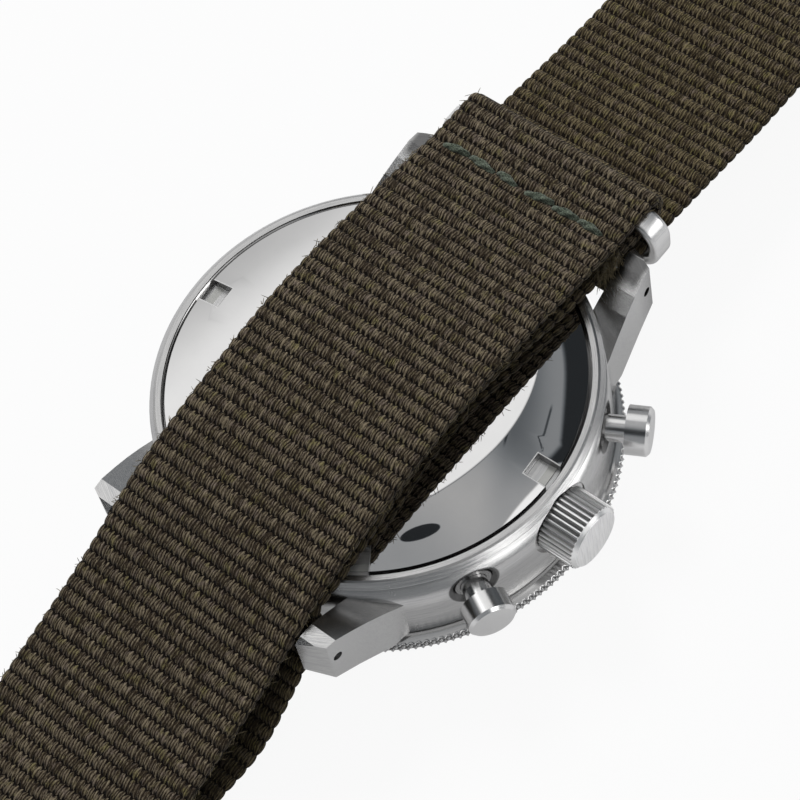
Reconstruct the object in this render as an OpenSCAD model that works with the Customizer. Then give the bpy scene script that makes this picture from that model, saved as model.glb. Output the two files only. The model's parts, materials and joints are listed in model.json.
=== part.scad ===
// Automatic chronograph watch lying face down, on a pass-through nylon strap.
// Millimetres. Z = 0 is the crystal's outer face, +Z points to the caseback,
// +X to the crown and +Y along the strap, towards the side of the dial's 6.

/* [Case] */
// Thickness of the case's wall outside the bore for the movement
case_wall = 2.95; // [2.7:0.05:3.2]
// How much the flank draws in from its foot to the caseback rim
case_taper = 0.2; // [0.1:0.05:0.4]
// Height of the case rim above the crystal's face
rim_z = 12; // [11.8:0.1:12.4]
// Height of the case flank's foot above the crystal's face
case_foot_z = 3.4; // [3.3:0.05:3.6]
// Width of the holder ring between the movement and the case's bore
holder_w = 1.5; // [1.3:0.05:1.7]
// How far the flat faces between the lugs lie inside the flank
lug_flat_in = 0.7; // [0.65:0.05:0.85]
// Chamfer along the flat faces
flat_chamfer = 0.35; // [0.1:0.05:0.5]

/* [Lugs] */
// Clear width between a pair of lugs
lug_gap = 20.3; // [20.2:0.1:20.6]
// Half width over a pair of lugs at their roots
lug_root_x = 13.5; // [13.2:0.1:13.8]
// Half width over a pair of lugs at their tips
lug_tip_x = 12.5; // [12.3:0.1:12.8]
// How far the lugs' inner tips stand out past the flank
lug_l = 3.15; // [2.9:0.05:3.4]
// How far the end face falls back at its outer edge
lug_end_fall = 1.1; // [0.4:0.1:1.4]
// Height of the lug's back edge at its tip
lug_back_z = 12.45; // [12.2:0.05:12.6]
// Height of the lug's front edge at its tip
lug_front_z = 7.5; // [7.2:0.1:7.8]
// Width of the polished edge along the lug's back
lug_edge_w = 0.2; // [0.1:0.05:0.3]

/* [Spring bars] */
// How far the spring bars lie outside the flank
bar_out = 1.3; // [1.25:0.05:1.45]
// Height of the spring bars above the crystal's face
bar_z = 9.8; // [9.6:0.1:10]
// Radius of a spring bar's tube
bar_r = 0.65; // [0.55:0.05:0.7]
// Radius of a spring bar's pin
bar_pin_r = 0.4; // [0.35:0.05:0.45]

/* [Caseback] */
// How far the caseback's rim reaches over the case's bore
back_step = 1.35; // [1.2:0.05:1.4]
// Width of the dark gap around the caseback
back_gap = 0.3; // [0.25:0.05:0.4]
// Rise of the caseback's dome above its rim
back_rise = 1.3; // [1:0.1:1.4]
// Thickness of the caseback's middle
back_t = 1; // [0.8:0.1:1.1]
// Width of a wrench notch
notch_w = 2.1; // [1.8:0.1:2.4]
// Length of a wrench notch in from the rim
notch_l = 2.1; // [1.8:0.1:2.4]
// Depth of a wrench notch at its inner end
notch_d = 0.8; // [0.6:0.1:0.9]
// Number of wrench notches
notch_n = 6; // [6:2:8]

/* [Bezel and crystal] */
// Width of the bezel from the case's neck to its teeth
bezel_w = 2.68; // [2.5:0.02:2.8]
// Height of the bezel's toothed band
bezel_band_h = 0.8; // [0.6:0.1:1]
// Depth of the bezel's teeth
bezel_tooth_d = 0.26; // [0.2:0.02:0.3]
// Number of teeth round the bezel
bezel_teeth = 120; // [90:10:140]
// Thickness of the case's neck outside the crystal, with its gasket
neck_wall = 2.3; // [2.1:0.05:2.4]
// How far the crystal stands below the bezel
crystal_stand = 0.3; // [0.2:0.05:0.4]
// How far the crystal's edge lies inside the case's bore
crystal_in = 1.1; // [1:0.05:1.3]
// Thickness of the crystal
crystal_t = 1.7; // [1.6:0.05:1.8]

/* [Crown] */
// Radius of the crown
crown_r = 2.95; // [2.7:0.05:3.1]
// How far the crown's outer face stands out past the flank
crown_out = 3.25; // [2.95:0.05:3.55]
// Length of the crown
crown_l = 3.6; // [3.4:0.1:3.7]
// Height of the crown's axis above the crystal's face
crown_z = 8.3; // [8.2:0.05:8.4]
// Number of ribs round the crown
crown_ribs = 36; // [24:2:44]
// Radius of the winding stem
stem_r = 0.5; // [0.45:0.01:0.52]
// How far the crown pulls out
crown_pull = 0.8; // [0.5:0.1:1]

/* [Pushers] */
// Angle of each pusher from the crown's axis
pusher_a = 27.5; // [27:0.5:29]
// Radius of a pusher's cap
pusher_r = 2.1; // [2:0.05:2.3]
// How far a pusher's outer face stands out past the flank
pusher_out = 3.65; // [3.45:0.05:3.95]
// Length of a pusher's cap
pusher_cap_l = 2; // [1.8:0.1:2.2]
// Radius of a pusher's stem
pusher_stem_r = 1.15; // [1.1:0.01:1.2]
// How far a pusher travels
pusher_travel = 1; // [0.8:0.1:1.1]

/* [Strap] */
// Width of the strap
strap_w = 20; // [19.6:0.1:20]
// Thickness of the strap
strap_t = 1.05; // [0.9:0.05:1.1]
// Radius of a hole in the strap
strap_hole_r = 1; // [0.8:0.1:1.2]
// Number of holes in the strap's tail
strap_holes = 8; // [5:1:9]
// Distance from one hole to the next
strap_hole_pitch = 6.5; // [6:0.1:7]

/* [Strap rings and buckle] */
// Thickness of a ring's metal
ring_t = 1; // [0.8:0.05:1]
// Width of a ring along the strap
ring_w = 2.4; // [2:0.1:2.6]
// Clear height inside the ring that holds both straps
ring_gap = 3.9; // [3.8:0.05:4.1]
// Distance from the spring bar to the ring that holds both straps
ring_out = 3.95; // [3.6:0.05:4.3]
// Distance from the buckle's bar to the fixed keeper
keeper_out = 12; // [11.5:0.5:12]
// Distance from the fixed keeper to the sliding keeper
keeper_step = 8; // [7.5:0.5:9]
// Clear height inside each keeper near the buckle
keeper_gap = 2.8; // [2.6:0.1:3]
// Clearance beside the strap inside every ring
ring_side = 0.6; // [0.4:0.05:0.7]
// Length of the buckle's frame along the strap
buckle_l = 12; // [11:0.5:13]
// Thickness of the buckle's frame
buckle_t = 2; // [1.8:0.1:2.2]
// Radius of the buckle's bar
buckle_bar_r = 0.75; // [0.7:0.05:0.8]

/* [Movement] */
// Radius of the movement's main plate
plate_r = 14.9; // [14.7:0.05:15]
// Distance of the three small dials' centres from the middle
subdial_r = 7; // [6.9:0.05:7.1]
// Radial clearance of every turning fit
fit = 0.04; // [0.03:0.01:0.06]
// Axial clearance between neighbouring layers
layer_gap = 0.05; // [0.04:0.01:0.07]
// Thickness of a toothed wheel
wheel_t = 0.2; // [0.16:0.02:0.24]
// Thickness of a hand
hand_t = 0.15; // [0.12:0.01:0.18]
// Radius of an arbor's pivot
pivot_r = 0.25; // [0.2:0.01:0.28]

/* [Hidden] */
$fn = 96;
BRUSHED = [0.72, 0.72, 0.72];
POLISHED = [0.82, 0.82, 0.83];
BRASS = [0.78, 0.66, 0.38];
NICKEL = [0.68, 0.69, 0.7];
OLIVE = [0.24, 0.21, 0.13];
DARK = [0.08, 0.08, 0.09];
eps = 0.01;
case_bore_r = plate_r + holder_w;
case_r = case_bore_r + case_wall;
case_top_r = case_r - case_taper;
crystal_r = case_bore_r - crystal_in;
neck_r = crystal_r + neck_wall;
bezel_r = neck_r + bezel_w;
back_r = case_bore_r + back_step;
lug_flat_y = case_r - lug_flat_in;
lug_tip_y = case_r + lug_l;
bar_y = case_r + bar_out;
crown_x = case_r + crown_out;
pusher_x = case_r + pusher_out;
// The pushers' tubes, from the bore to just inside the flank
tube_x = case_bore_r + 0.05;
stem_x = case_r - 0.45;

// Levels from the crystal up to the caseback
ledge_t = 0.5;
ledge_z = crystal_t + ledge_t;
dial_z = 3.2;
dial_t = 0.4;
dial_r = crystal_r + 0.1;
plate_z = 4.6;
plate_t = 1.6;
train_z = plate_z + plate_t;
bridge_z = train_z + 2.2;
bridge_t = 0.7;
chrono_z = bridge_z + bridge_t;
chrono_h = 0.95;
top_bridge_z = chrono_z + chrono_h;
top_bridge_t = 0.5;
rotor_z = top_bridge_z + top_bridge_t + 0.3;
rotor_t = 0.45;
seat_z = rim_z - 1.2;
thread_z = seat_z - 1.2;
gap_r = back_r + back_gap;
rim_edge_r = gap_r + 0.5;
neck_bore_r = crystal_r + 0.35;
bezel_z0 = crystal_stand;
bezel_z1 = case_foot_z - 0.3;
bezel_bore_r = neck_r + fit;
wire_z = 1.5;
holder_r = case_bore_r - 0.1;
back_r_sphere = (back_r * back_r + back_rise * back_rise) / (2 * back_rise);
back_top_z = rim_z + back_rise;

// Hands, from the crystal up to the dial
chrono_hand_z = 2.0;
minute_hand_z = 2.35;
hour_hand_z = 2.7;
small_hand_z = 3.05;

// Coaxial arbors in the middle
chrono_arbor_r = 0.3;
centre_ri = chrono_arbor_r + fit;
centre_ro = centre_ri + 0.26;
cannon_ro = centre_ro + 0.25;
hour_ri = cannon_ro + fit;
hour_ro = hour_ri + 0.28;
dial_hole_r = hour_ro + fit;
small_hole_r = pivot_r + fit;

// Teeth of the going train and the motion work
barrel_n = 72;
centre_pinion_n = 12;
centre_n = 64;
third_pinion_n = 8;
third_n = 60;
fourth_pinion_n = 8;
fourth_n = 72;
escape_pinion_n = 6;
cannon_n = 12;
minute_n = 36;
minute_pinion_n = 10;
hour_n = 40;
barrel_m = 0.13;
centre_m = 0.12;
fourth_m = 0.085;
motion_m = 0.15;
barrel_d = (barrel_n + centre_pinion_n) * barrel_m / 2;
centre_d = (centre_n + third_pinion_n) * centre_m / 2;
third_m = 0.115;
third_d = (third_n + fourth_pinion_n) * third_m / 2;
third_x = -(centre_d * centre_d + subdial_r * subdial_r - third_d * third_d) / (2 * subdial_r);
escape_d = (fourth_n + escape_pinion_n) * fourth_m / 2;
minute_d = (cannon_n + minute_n) * motion_m / 2;
hour_m = 2 * minute_d / (hour_n + minute_pinion_n);
barrel_a = -32;
escape_a = 235;
minute_a = 60;
centre_p = [0, 0];
barrel_p = polar(barrel_d, barrel_a);
third_p = [third_x, sqrt(centre_d * centre_d - third_x * third_x)];
fourth_p = [-subdial_r, 0];
escape_p = fourth_p + polar(escape_d, escape_a);
minute_p = polar(minute_d, minute_a);
min_count_p = [0, -subdial_r];
hour_count_p = [0, subdial_r];
fork_p = escape_p + polar(2.9, 290);
balance_p = fork_p + polar(3.5, 290);
balance_r = 3.6;
cock_p = polar(13.6, angle_to([0, 0], balance_p) - 18);
escape_r = 2;

// Levels of the wheels in the train
centre_wheel_z = train_z + layer_gap;
centre_pinion_z = centre_wheel_z + wheel_t + layer_gap;
barrel_h = 1.7;
third_wheel_z = train_z + 1.1;
fourth_wheel_z = train_z + 1.5;
escape_wheel_z = train_z + 0.75;
motion_z = dial_z + dial_t + layer_gap;

function polar(r, a) = [r * cos(a), r * sin(a)];
function angle_to(p, q) = atan2(q[1] - p[1], q[0] - p[0]);

// Smooth curve through a list of points, steps points to each span
function curve_point(a, b, c, d, t) =
    0.5 * (2 * b + (c - a) * t + (2 * a - 5 * b + 4 * c - d) * t * t
        + (3 * b - a - 3 * c + d) * t * t * t);
function curve(p, steps) = [
    for (i = [0:len(p) - 2], k = [0:steps - 1])
        curve_point(p[max(i - 1, 0)], p[i], p[i + 1], p[min(i + 2, len(p) - 1)], k / steps),
    p[len(p) - 1]];
function side(p, i) =
    let (d = p[min(i + 1, len(p) - 1)] - p[max(i - 1, 0)])
    [-d[1], d[0]] / norm(d);
// Closed outline of a band of thickness t along a path
function band(p, t) = concat(
    [for (i = [0:len(p) - 1]) p[i] + side(p, i) * t / 2],
    [for (i = [len(p) - 1:-1:0]) p[i] - side(p, i) * t / 2]);

// Basic shapes
module disc(r, z0, z1) { translate([0, 0, z0]) cylinder(r = r, h = z1 - z0); }
module ring(ro, ri, z0, z1) {
    difference() {
        disc(ro, z0, z1);
        disc(ri, z0 - eps, z1 + eps);
    }
}
module along_x(x, z) { translate([x, 0, z]) rotate([0, 90, 0]) children(); }
module at_pusher(s) { rotate([0, 0, s * pusher_a]) children(); }
// A band seen from the side, extruded across the strap
module strap_band(p, t, w) {
    translate([-w / 2, 0, 0]) rotate([90, 0, 90]) linear_extrude(w) polygon(band(p, t));
}

// Straight-sided teeth, thin enough to run with play
module gear_2d(n, m, phase = 0) {
    r = n * m / 2;
    step = 360 / n;
    polygon([for (i = [0:n - 1], k = [0:3])
        polar(k == 0 || k == 3 ? r - 1.2 * m : r + 0.85 * m,
            phase + step * (i + [-0.27, -0.1, 0.1, 0.27][k]))]);
}
module toothed(n, m, z, h, phase = 0) {
    translate([0, 0, z]) linear_extrude(h) gear_2d(n, m, phase);
}
// A toothed wheel with a hub and crossings
module wheel(n, m, z, phase = 0, hub_r = 0.7, arms = 5, rim = 3) {
    r = n * m / 2;
    difference() {
        toothed(n, m, z, wheel_t, phase);
        difference() {
            disc(r - rim * m, z - eps, z + wheel_t + eps);
            disc(hub_r, z - 2 * eps, z + wheel_t + 2 * eps);
            for (i = [0:arms - 1]) rotate([0, 0, phase + i * 360 / arms])
                translate([0, -0.15, z - 2 * eps]) cube([r, 0.3, wheel_t + 4 * eps]);
        }
    }
}
module arbor(z0, z1, r, lower = 0.6, upper = 0.6) {
    disc(r, z0, z1);
    disc(pivot_r, z0 - lower, z0 + eps);
    disc(pivot_r, z1 - eps, z1 + upper);
}

// Case: bowl-shaped flank, neck for the bezel, four lugs
module case_profile() {
    rotate_extrude($fn = 180) polygon([
        [crystal_r - 0.4, crystal_t], [neck_bore_r, crystal_t], [neck_bore_r, bezel_z0 + 0.25],
        [neck_r, bezel_z0 + 0.25], [neck_r, wire_z], [neck_r - 0.3, wire_z],
        [neck_r - 0.3, wire_z + 0.4], [neck_r, wire_z + 0.4], [neck_r, case_foot_z], [case_r - 0.25, case_foot_z],
        [case_r, case_foot_z + 0.25], [case_r - 0.02, 6.5], [case_r - 0.1, 9.5],
        [case_top_r, rim_z - 0.55], [rim_edge_r + 0.2, rim_z - 0.1], [rim_edge_r, rim_z],
        [gap_r + 0.05, rim_z], [gap_r, rim_z - 0.05], [gap_r, seat_z], [case_bore_r, seat_z],
        [case_bore_r, dial_z + dial_t], [dial_r + 0.1, dial_z + dial_t],
        [dial_r + 0.1, ledge_z], [crystal_r - 0.4, ledge_z]]);
}
// One lug seen from the side: y outwards, z up
module lug_side_2d() {
    t = lug_tip_y;
    polygon([[t - 10, case_foot_z + 0.3], [t - 6.9, case_foot_z + 0.35], [t - 3.5, lug_front_z - 1.75],
        [t, lug_front_z], [t, lug_back_z - 0.35], [t - 0.7, lug_back_z],
        [t - 2.1, lug_back_z - 0.1], [t - 3.7, lug_back_z - 0.85], [t - 5.3, lug_back_z - 1.7],
        [t - 6.9, lug_back_z - 2.7], [t - 8.3, lug_back_z - 3.7], [t - 10, lug_back_z - 4.85]]);
}
// The same lug seen from above, for +X and +Y
module lug_plan_2d() {
    t = lug_tip_y;
    polygon([[lug_gap / 2, t - 10], [lug_gap / 2, t],
        [lug_tip_x, t - lug_end_fall], [lug_root_x, t - 8.3], [lug_root_x + 0.2, t - 10]]);
}
module lug() {
    intersection() {
        translate([0, 0, case_foot_z]) linear_extrude(10) lug_plan_2d();
        rotate([90, 0, 90]) linear_extrude(20) lug_side_2d();
    }
}
module case_body() color(BRUSHED) {
    difference() {
        union() {
            case_profile();
            difference() {
                for (sx = [0, 1], sy = [0, 1]) mirror([sx, 0, 0]) mirror([0, sy, 0]) lug();
                disc(case_r - 0.6, case_foot_z - 1, rim_z + 2);
            }
        }
        for (s = [-1, 1]) {
            translate([-lug_gap / 2, s > 0 ? lug_flat_y : -lug_flat_y - 4, case_foot_z - eps])
                cube([lug_gap, 4, 10]);
            translate([0, s * bar_y, bar_z]) rotate([0, 90, 0])
                cylinder(r = bar_pin_r + fit, h = 40, center = true);
        }
        for (s = [-1, 1]) mirror([0, s < 0 ? 1 : 0, 0])
            translate([-lug_gap / 2, lug_flat_y, rim_z]) rotate([45, 0, 0])
                cube([lug_gap, flat_chamfer * 1.414, flat_chamfer * 1.414], center = false);
        along_x(case_bore_r - 1, crown_z) cylinder(r = 1.5, h = 5);
        along_x(crown_x - crown_l - 0.15, crown_z) cylinder(r = crown_r + 0.35, h = 5);
        for (s = [-1, 1]) at_pusher(s) {
            along_x(case_bore_r - 1, crown_z) cylinder(r = 1.6, h = 5);
            along_x(case_r - 0.6, crown_z) cylinder(r1 = 1.6, r2 = 2.4, h = 0.8);
        }
    }
}
module caseback() color(POLISHED) {
    difference() {
        union() {
            intersection() {
                translate([0, 0, back_top_z - back_r_sphere]) sphere(r = back_r_sphere, $fn = 200);
                disc(back_r, seat_z, back_top_z + 1);
            }
            ring(case_bore_r - 0.05, case_bore_r - 1, thread_z, seat_z + eps);
        }
        intersection() {
            translate([0, 0, back_top_z - back_t - back_r_sphere])
                sphere(r = back_r_sphere, $fn = 200);
            disc(case_bore_r - 1, thread_z - eps, back_top_z);
        }
        disc(case_bore_r - 1, thread_z - eps, seat_z);
        for (i = [0:notch_n - 1]) rotate([0, 0, 4 + i * 360 / notch_n])
            translate([back_r - notch_l, -notch_w / 2, rim_z + 0.25])
                rotate([0, 8, 0]) translate([0, 0, -notch_d]) cube([notch_l + 1, notch_w, 3]);
        ring(back_r - 0.35, back_r - 1.05, seat_z - eps, seat_z + 0.5);
    }
}
module caseback_gasket() color(DARK) ring(back_r - 0.35, back_r - 1.05, seat_z, seat_z + 0.5);

// Rotating bezel with a coin edge
module bezel() color(BRUSHED) {
    band_z = bezel_z1 - 0.15 - bezel_band_h;
    difference() {
        union() {
            translate([0, 0, band_z]) linear_extrude(bezel_band_h) polygon([
                for (i = [0:bezel_teeth - 1], k = [0, 1])
                    polar(bezel_r - k * bezel_tooth_d, (i + k / 2) * 360 / bezel_teeth)]);
            disc(bezel_r - bezel_tooth_d - 0.15, band_z, bezel_z1);
            translate([0, 0, bezel_z0]) cylinder(r1 = bezel_r - 2, r2 = bezel_r - bezel_tooth_d,
                h = band_z - bezel_z0);
        }
        disc(bezel_bore_r, bezel_z0 - eps, bezel_z1 + eps);
        disc(neck_r + 0.3, wire_z, wire_z + 0.4);
    }
}
module bezel_wire() color(NICKEL) ring(neck_r + 0.25, neck_r - 0.3, wire_z + 0.05, wire_z + 0.35);
module bezel_click_spring() color(POLISHED) {
    difference() {
        ring(case_r - 0.4, neck_r + fit, bezel_z1 + layer_gap, case_foot_z);
        for (a = [30:120:270]) rotate([0, 0, a])
            translate([case_r - 0.3, 0, bezel_z1]) cube([1, 5, 1.2], center = true);
    }
}
module crystal() color([0.8, 0.9, 0.95, 0.4]) {
    translate([0, 0, 0]) cylinder(r1 = crystal_r - 0.3, r2 = crystal_r, h = 0.3);
    disc(crystal_r, 0.3, crystal_t);
}
module crystal_gasket() color(DARK) ring(neck_bore_r, crystal_r, bezel_z0 + 0.4, crystal_t);
module flange_ring() color(DARK) {
    rotate_extrude() polygon([[crystal_r - 0.5, ledge_z], [dial_r + 0.1, ledge_z],
        [dial_r + 0.1, dial_z], [crystal_r - 1.2, dial_z]]);
}

// Dial with three small sunk dials and raised hour marks
module dial() color(DARK) {
    difference() {
        union() {
            disc(dial_r, dial_z, dial_z + dial_t);
            for (i = [0:11]) if (i % 3 > 0) rotate([0, 0, i * 30])
                translate([10.6, -0.3, dial_z - 0.1]) cube([2, 0.6, 0.1 + eps]);
        }
        disc(dial_hole_r, dial_z - 1, dial_z + 1);
        for (p = [fourth_p, min_count_p, hour_count_p]) translate(p) {
            disc(small_hole_r, dial_z - 1, dial_z + 1);
            disc(3, dial_z - eps, dial_z + 0.08);
        }
    }
}
module movement_holder() color([0.85, 0.85, 0.82]) {
    difference() {
        ring(holder_r, plate_r, dial_z + dial_t, thread_z - 0.1);
        along_x(plate_r - 1, crown_z) cylinder(r = 1.1, h = 3);
        for (s = [-1, 1]) at_pusher(s) along_x(plate_r - 2, crown_z) cylinder(r = 1.1, h = 4);
        for (s = [-1, 1]) at_pusher(s) translate([plate_r - 1, -2.2, crown_z - 1.2])
            cube([1.6, 4.4, 3.2]);
    }
}

// Crown with straight ribs, its gasket, tube and stem
module crown() color(POLISHED) {
    x0 = crown_x - crown_l;
    rib_d = 0.16;
    difference() {
        union() {
            along_x(x0, crown_z) linear_extrude(crown_l - 0.35) polygon([
                for (i = [0:crown_ribs - 1], k = [0:3])
                    polar(k == 0 || k == 3 ? crown_r - rib_d : crown_r,
                        (i + [0.1, 0.25, 0.65, 0.8][k]) * 360 / crown_ribs)]);
            along_x(crown_x - 0.35 - eps, crown_z)
                cylinder(r1 = crown_r - rib_d, r2 = crown_r - 0.4, h = 0.35 + eps);
        }
        along_x(x0 - eps, crown_z) cylinder(r = 1.9, h = crown_l - 1.2);
        along_x(x0, crown_z) cylinder(r = stem_r, h = crown_l - 0.6);
    }
}
module crown_gasket() color(DARK) along_x(crown_x - crown_l + 0.4, crown_z) difference() {
    cylinder(r = 1.9 - fit, h = 0.8);
    translate([0, 0, -eps]) cylinder(r = 1.5 + fit, h = 1);
}
module crown_tube() color(POLISHED) along_x(case_bore_r, crown_z) difference() {
    cylinder(r = 1.5, h = 4.2);
    translate([0, 0, -eps]) cylinder(r = stem_r + 2 * fit, h = 5);
}
module winding_stem() color(NICKEL) {
    along_x(9.9, crown_z) cylinder(r = stem_r, h = crown_x - 0.6 - 9.9);
    along_x(11.2, crown_z) linear_extrude(1.1) gear_2d(16, 0.14);
}

// Chronograph pushers, each a cap on a stepped stem
module pusher(s) {
    color(POLISHED) at_pusher(s) {
        along_x(pusher_x - pusher_cap_l, crown_z) cylinder(r = pusher_r, h = pusher_cap_l - 0.25);
        along_x(pusher_x - 0.25 - eps, crown_z)
            cylinder(r1 = pusher_r, r2 = pusher_r - 0.25, h = 0.25 + eps);
        along_x(stem_x, crown_z)
            cylinder(r = pusher_stem_r, h = pusher_x - pusher_cap_l - stem_x + eps);
        along_x(tube_x - 1.2, crown_z) cylinder(r = 0.6, h = stem_x - tube_x + 1.3);
    }
}
module start_pusher() { pusher(-1); }
module reset_pusher() { pusher(1); }
module pusher_clip(s) {
    color(NICKEL) at_pusher(s) along_x(tube_x - 0.3, crown_z) difference() {
        cylinder(r = 1, h = 0.25);
        translate([0, 0, -eps]) cylinder(r = 0.6, h = 1);
    }
}
module start_pusher_clip() { pusher_clip(-1); }
module reset_pusher_clip() { pusher_clip(1); }
module pusher_tubes() color(POLISHED) {
    for (s = [-1, 1]) at_pusher(s) along_x(tube_x, crown_z) difference() {
        cylinder(r = 1.6, h = stem_x + 0.1 - tube_x);
        translate([0, 0, -eps]) cylinder(r = 0.6 + fit, h = 1);
        translate([0, 0, 0.3]) cylinder(r = pusher_stem_r + fit, h = 5);
    }
}
// Coil springs round the thin ends of the stems
module pusher_springs() color(NICKEL) {
    turns = 3;
    wire = 0.12;
    for (s = [-1, 1]) at_pusher(s) along_x(tube_x + 0.31, crown_z)
        coil(turns, stem_x - tube_x - 0.35 - pusher_travel, 0.86, wire, 14 * turns);
}
module coil(turns, length, mid_r, wire, steps) {
    sides = 6;
    pts = [for (i = [0:steps], k = [0:sides - 1])
        let (a = 360 * turns * i / steps, b = 360 * k / sides,
            r = mid_r + wire * cos(b))
        [r * cos(a), r * sin(a), wire + (length - 2 * wire) * i / steps + wire * sin(b)]];
    faces = concat(
        [for (i = [0:steps - 1], k = [0:sides - 1])
            let (a = i * sides + k, b = i * sides + (k + 1) % sides)
            [a, b, a + sides]],
        [for (i = [0:steps - 1], k = [0:sides - 1])
            let (a = i * sides + k, b = i * sides + (k + 1) % sides)
            [b, b + sides, a + sides]],
        [[for (k = [sides - 1:-1:0]) k]],
        [[for (k = [0:sides - 1]) steps * sides + k]]);
    polyhedron(points = pts, faces = faces);
}

// Spring bars: a tube with a sprung pin at each end
module spring_bar_tubes() color(POLISHED) {
    for (s = [-1, 1]) translate([0, s * bar_y, bar_z]) rotate([0, 90, 0]) difference() {
        cylinder(r = bar_r, h = lug_gap - 0.4, center = true);
        for (e = [-1, 1]) translate([0, 0, e * lug_gap / 2])
            cylinder(r = bar_pin_r, h = 4, center = true);
    }
}
module spring_bar_pins() color(NICKEL) {
    for (s = [-1, 1], e = [-1, 1]) translate([e * (lug_gap / 2 - 0.2), s * bar_y, bar_z])
        rotate([0, 90, 0]) cylinder(r = bar_pin_r, h = 3.6, center = true);
}

// The straps' routes: y along the strap, z up, in the middle of the cloth
cloth = strap_t / 2;
over_back_z = back_top_z + cloth + 0.1;
// Bends: under a spring bar, and over the case's rim
bend_r = bar_r + cloth + 0.1;
gap_y = bar_y - bend_r;
top_r = 0.375 + cloth;
top_y = gap_y - top_r;
top_z = rim_z - 0.28;
ring_y = bar_y + ring_out;
ring_z = 10.85;
ring_in_z = ring_z - ring_gap / 2 + cloth + 0.1;
ring_top_z = ring_z + ring_gap / 2;
fold_in_z = ring_top_z - cloth - 0.1;
fold_out_z = ring_top_z + ring_t + cloth + 0.1;
lay_z = ring_t + cloth + 0.1;
joint_y = -46;
joint_z = 4.3;
buckle_y = -88;
buckle_z = 2 * cloth + buckle_bar_r + 0.15;
buckle_tilt = asin((buckle_z - buckle_t / 2) / (buckle_l - 1.5));
bar_fold_r = buckle_bar_r + cloth + 0.1;
fold_r = (fold_out_z - fold_in_z) / 2;
fold_mid = [ring_y + ring_w / 2 - 0.25, fold_in_z + fold_r];
function arc(c, r, a0, a1, n) = [for (i = [0:n]) c + polar(r, a0 + (a1 - a0) * i / n)];
tail_y = 166;

low_z = buckle_z - bar_fold_r;
long_route = concat(
    [[buckle_y + 5.5, low_z], [buckle_y + 2.5, low_z]],
    arc([buckle_y, buckle_z], bar_fold_r, 270, 78, 8),
    curve([[buckle_y + 2.2, buckle_z + bar_fold_r - 0.45], [buckle_y + 4.5, lay_z + 0.75],
        [buckle_y + 7, lay_z + 0.15], [buckle_y + 10, lay_z], [-74, lay_z], [-64, lay_z + 0.1],
        [-55, lay_z + 1.2], [joint_y, joint_z], [-41, 4.1], [-34, 2.9], [-29, 2.8], [-bar_y - 4.35, 5],
        [-bar_y - 0.75, bar_z - bend_r - 0.875]], 4),
    arc([-bar_y, bar_z], bend_r, -50, 0, 4),
    arc([-top_y, top_z], top_r, 180, 100, 6),
    curve([[1.075 - top_y, rim_z + 0.195 + cloth], [4.475 - top_y, rim_z + 0.625 + cloth],
        [-7, over_back_z - 0.15], [0, over_back_z], [7, over_back_z - 0.15],
        [top_y - 4.475, rim_z + 0.625 + cloth], [top_y - 1.075, rim_z + 0.195 + cloth]], 3),
    arc([top_y, top_z], top_r, 80, 0, 6),
    arc([bar_y, bar_z], bend_r, 180, 284, 6),
    curve([[bar_y + 1.55, bar_z - bend_r + 0.455], [ring_y - 1.3, ring_in_z + 0.02],
        [ring_y + 1.2, ring_in_z], [32, 8.7], [41, 7.5], [53, 6.7], [66, 4.7], [80, 2.5],
        [92, 1.15], [102, cloth + 0.1], [112, cloth + 0.02], [tail_y, cloth + 0.01]], 4));
short_route = concat(
    curve([[joint_y - 8, joint_z - 1.15 + strap_t], [joint_y - 4, joint_z - 0.35 + strap_t],
        [joint_y, joint_z + 0.2 + strap_t], [-41, 6.1], [-34, 8], [-26.5, 10.45],
        [1.25 - bar_y, 13.6], [4.65 - bar_y, 14.6], [-9.5, 15.85], [0, 16.85], [9.5, 16.25],
        [ring_y - 7.6, 15.1], [ring_y - 3.6, fold_out_z + 0.15], [ring_y - 1, fold_out_z]], 4),
    arc(fold_mid, fold_r, 80, -80, 8),
    curve([[ring_y - 0.6, fold_in_z], [ring_y - 2.7, fold_in_z + 0.25],
        [ring_y - 4.2, fold_in_z + 0.75]], 4));

module long_strap() color(OLIVE) {
    difference() {
        strap_band(long_route, strap_t, strap_w);
        for (i = [0:strap_holes - 1])
            disc_at([0, tail_y - 26 - i * strap_hole_pitch], strap_hole_r);
        for (s = [-1, 1]) translate([s * strap_w / 2, tail_y, -1]) rotate([0, 0, 45])
            cube([8, 8, 4], center = true);
        translate([-1.2, buckle_y - 3, -1]) cube([2.4, 6.6, 7]);
    }
}
module disc_at(p, r) { translate([p[0], p[1], -1]) cylinder(r = r, h = 5); }
module short_strap() color(OLIVE) strap_band(short_route, strap_t, strap_w);

// A rectangle with rounded corners, centred
module rounded(x, y, r) {
    square([x - 2 * r, y], center = true);
    square([x, y - 2 * r], center = true);
    for (sx = [-1, 1], sy = [-1, 1]) translate([sx * (x / 2 - r), sy * (y / 2 - r)]) circle(r = r);
}
// A flat ring with rounded corners, open for the strap along Y
module loop(gap, y, z) {
    inner_x = strap_w + 2 * ring_side;
    translate([0, y, z]) rotate([90, 0, 0]) linear_extrude(ring_w, center = true) difference() {
        rounded(inner_x + 2 * ring_t, gap + 2 * ring_t, 0.7 + ring_t);
        rounded(inner_x, gap, 0.7);
    }
}
module strap_ring() color(BRUSHED) loop(ring_gap, ring_y, ring_z);
module fixed_keeper() color(BRUSHED) loop(keeper_gap, buckle_y + keeper_out, ring_t + keeper_gap / 2);
module sliding_keeper() color(BRUSHED)
    loop(keeper_gap, buckle_y + keeper_out + keeper_step, ring_t + keeper_gap / 2);

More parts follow.
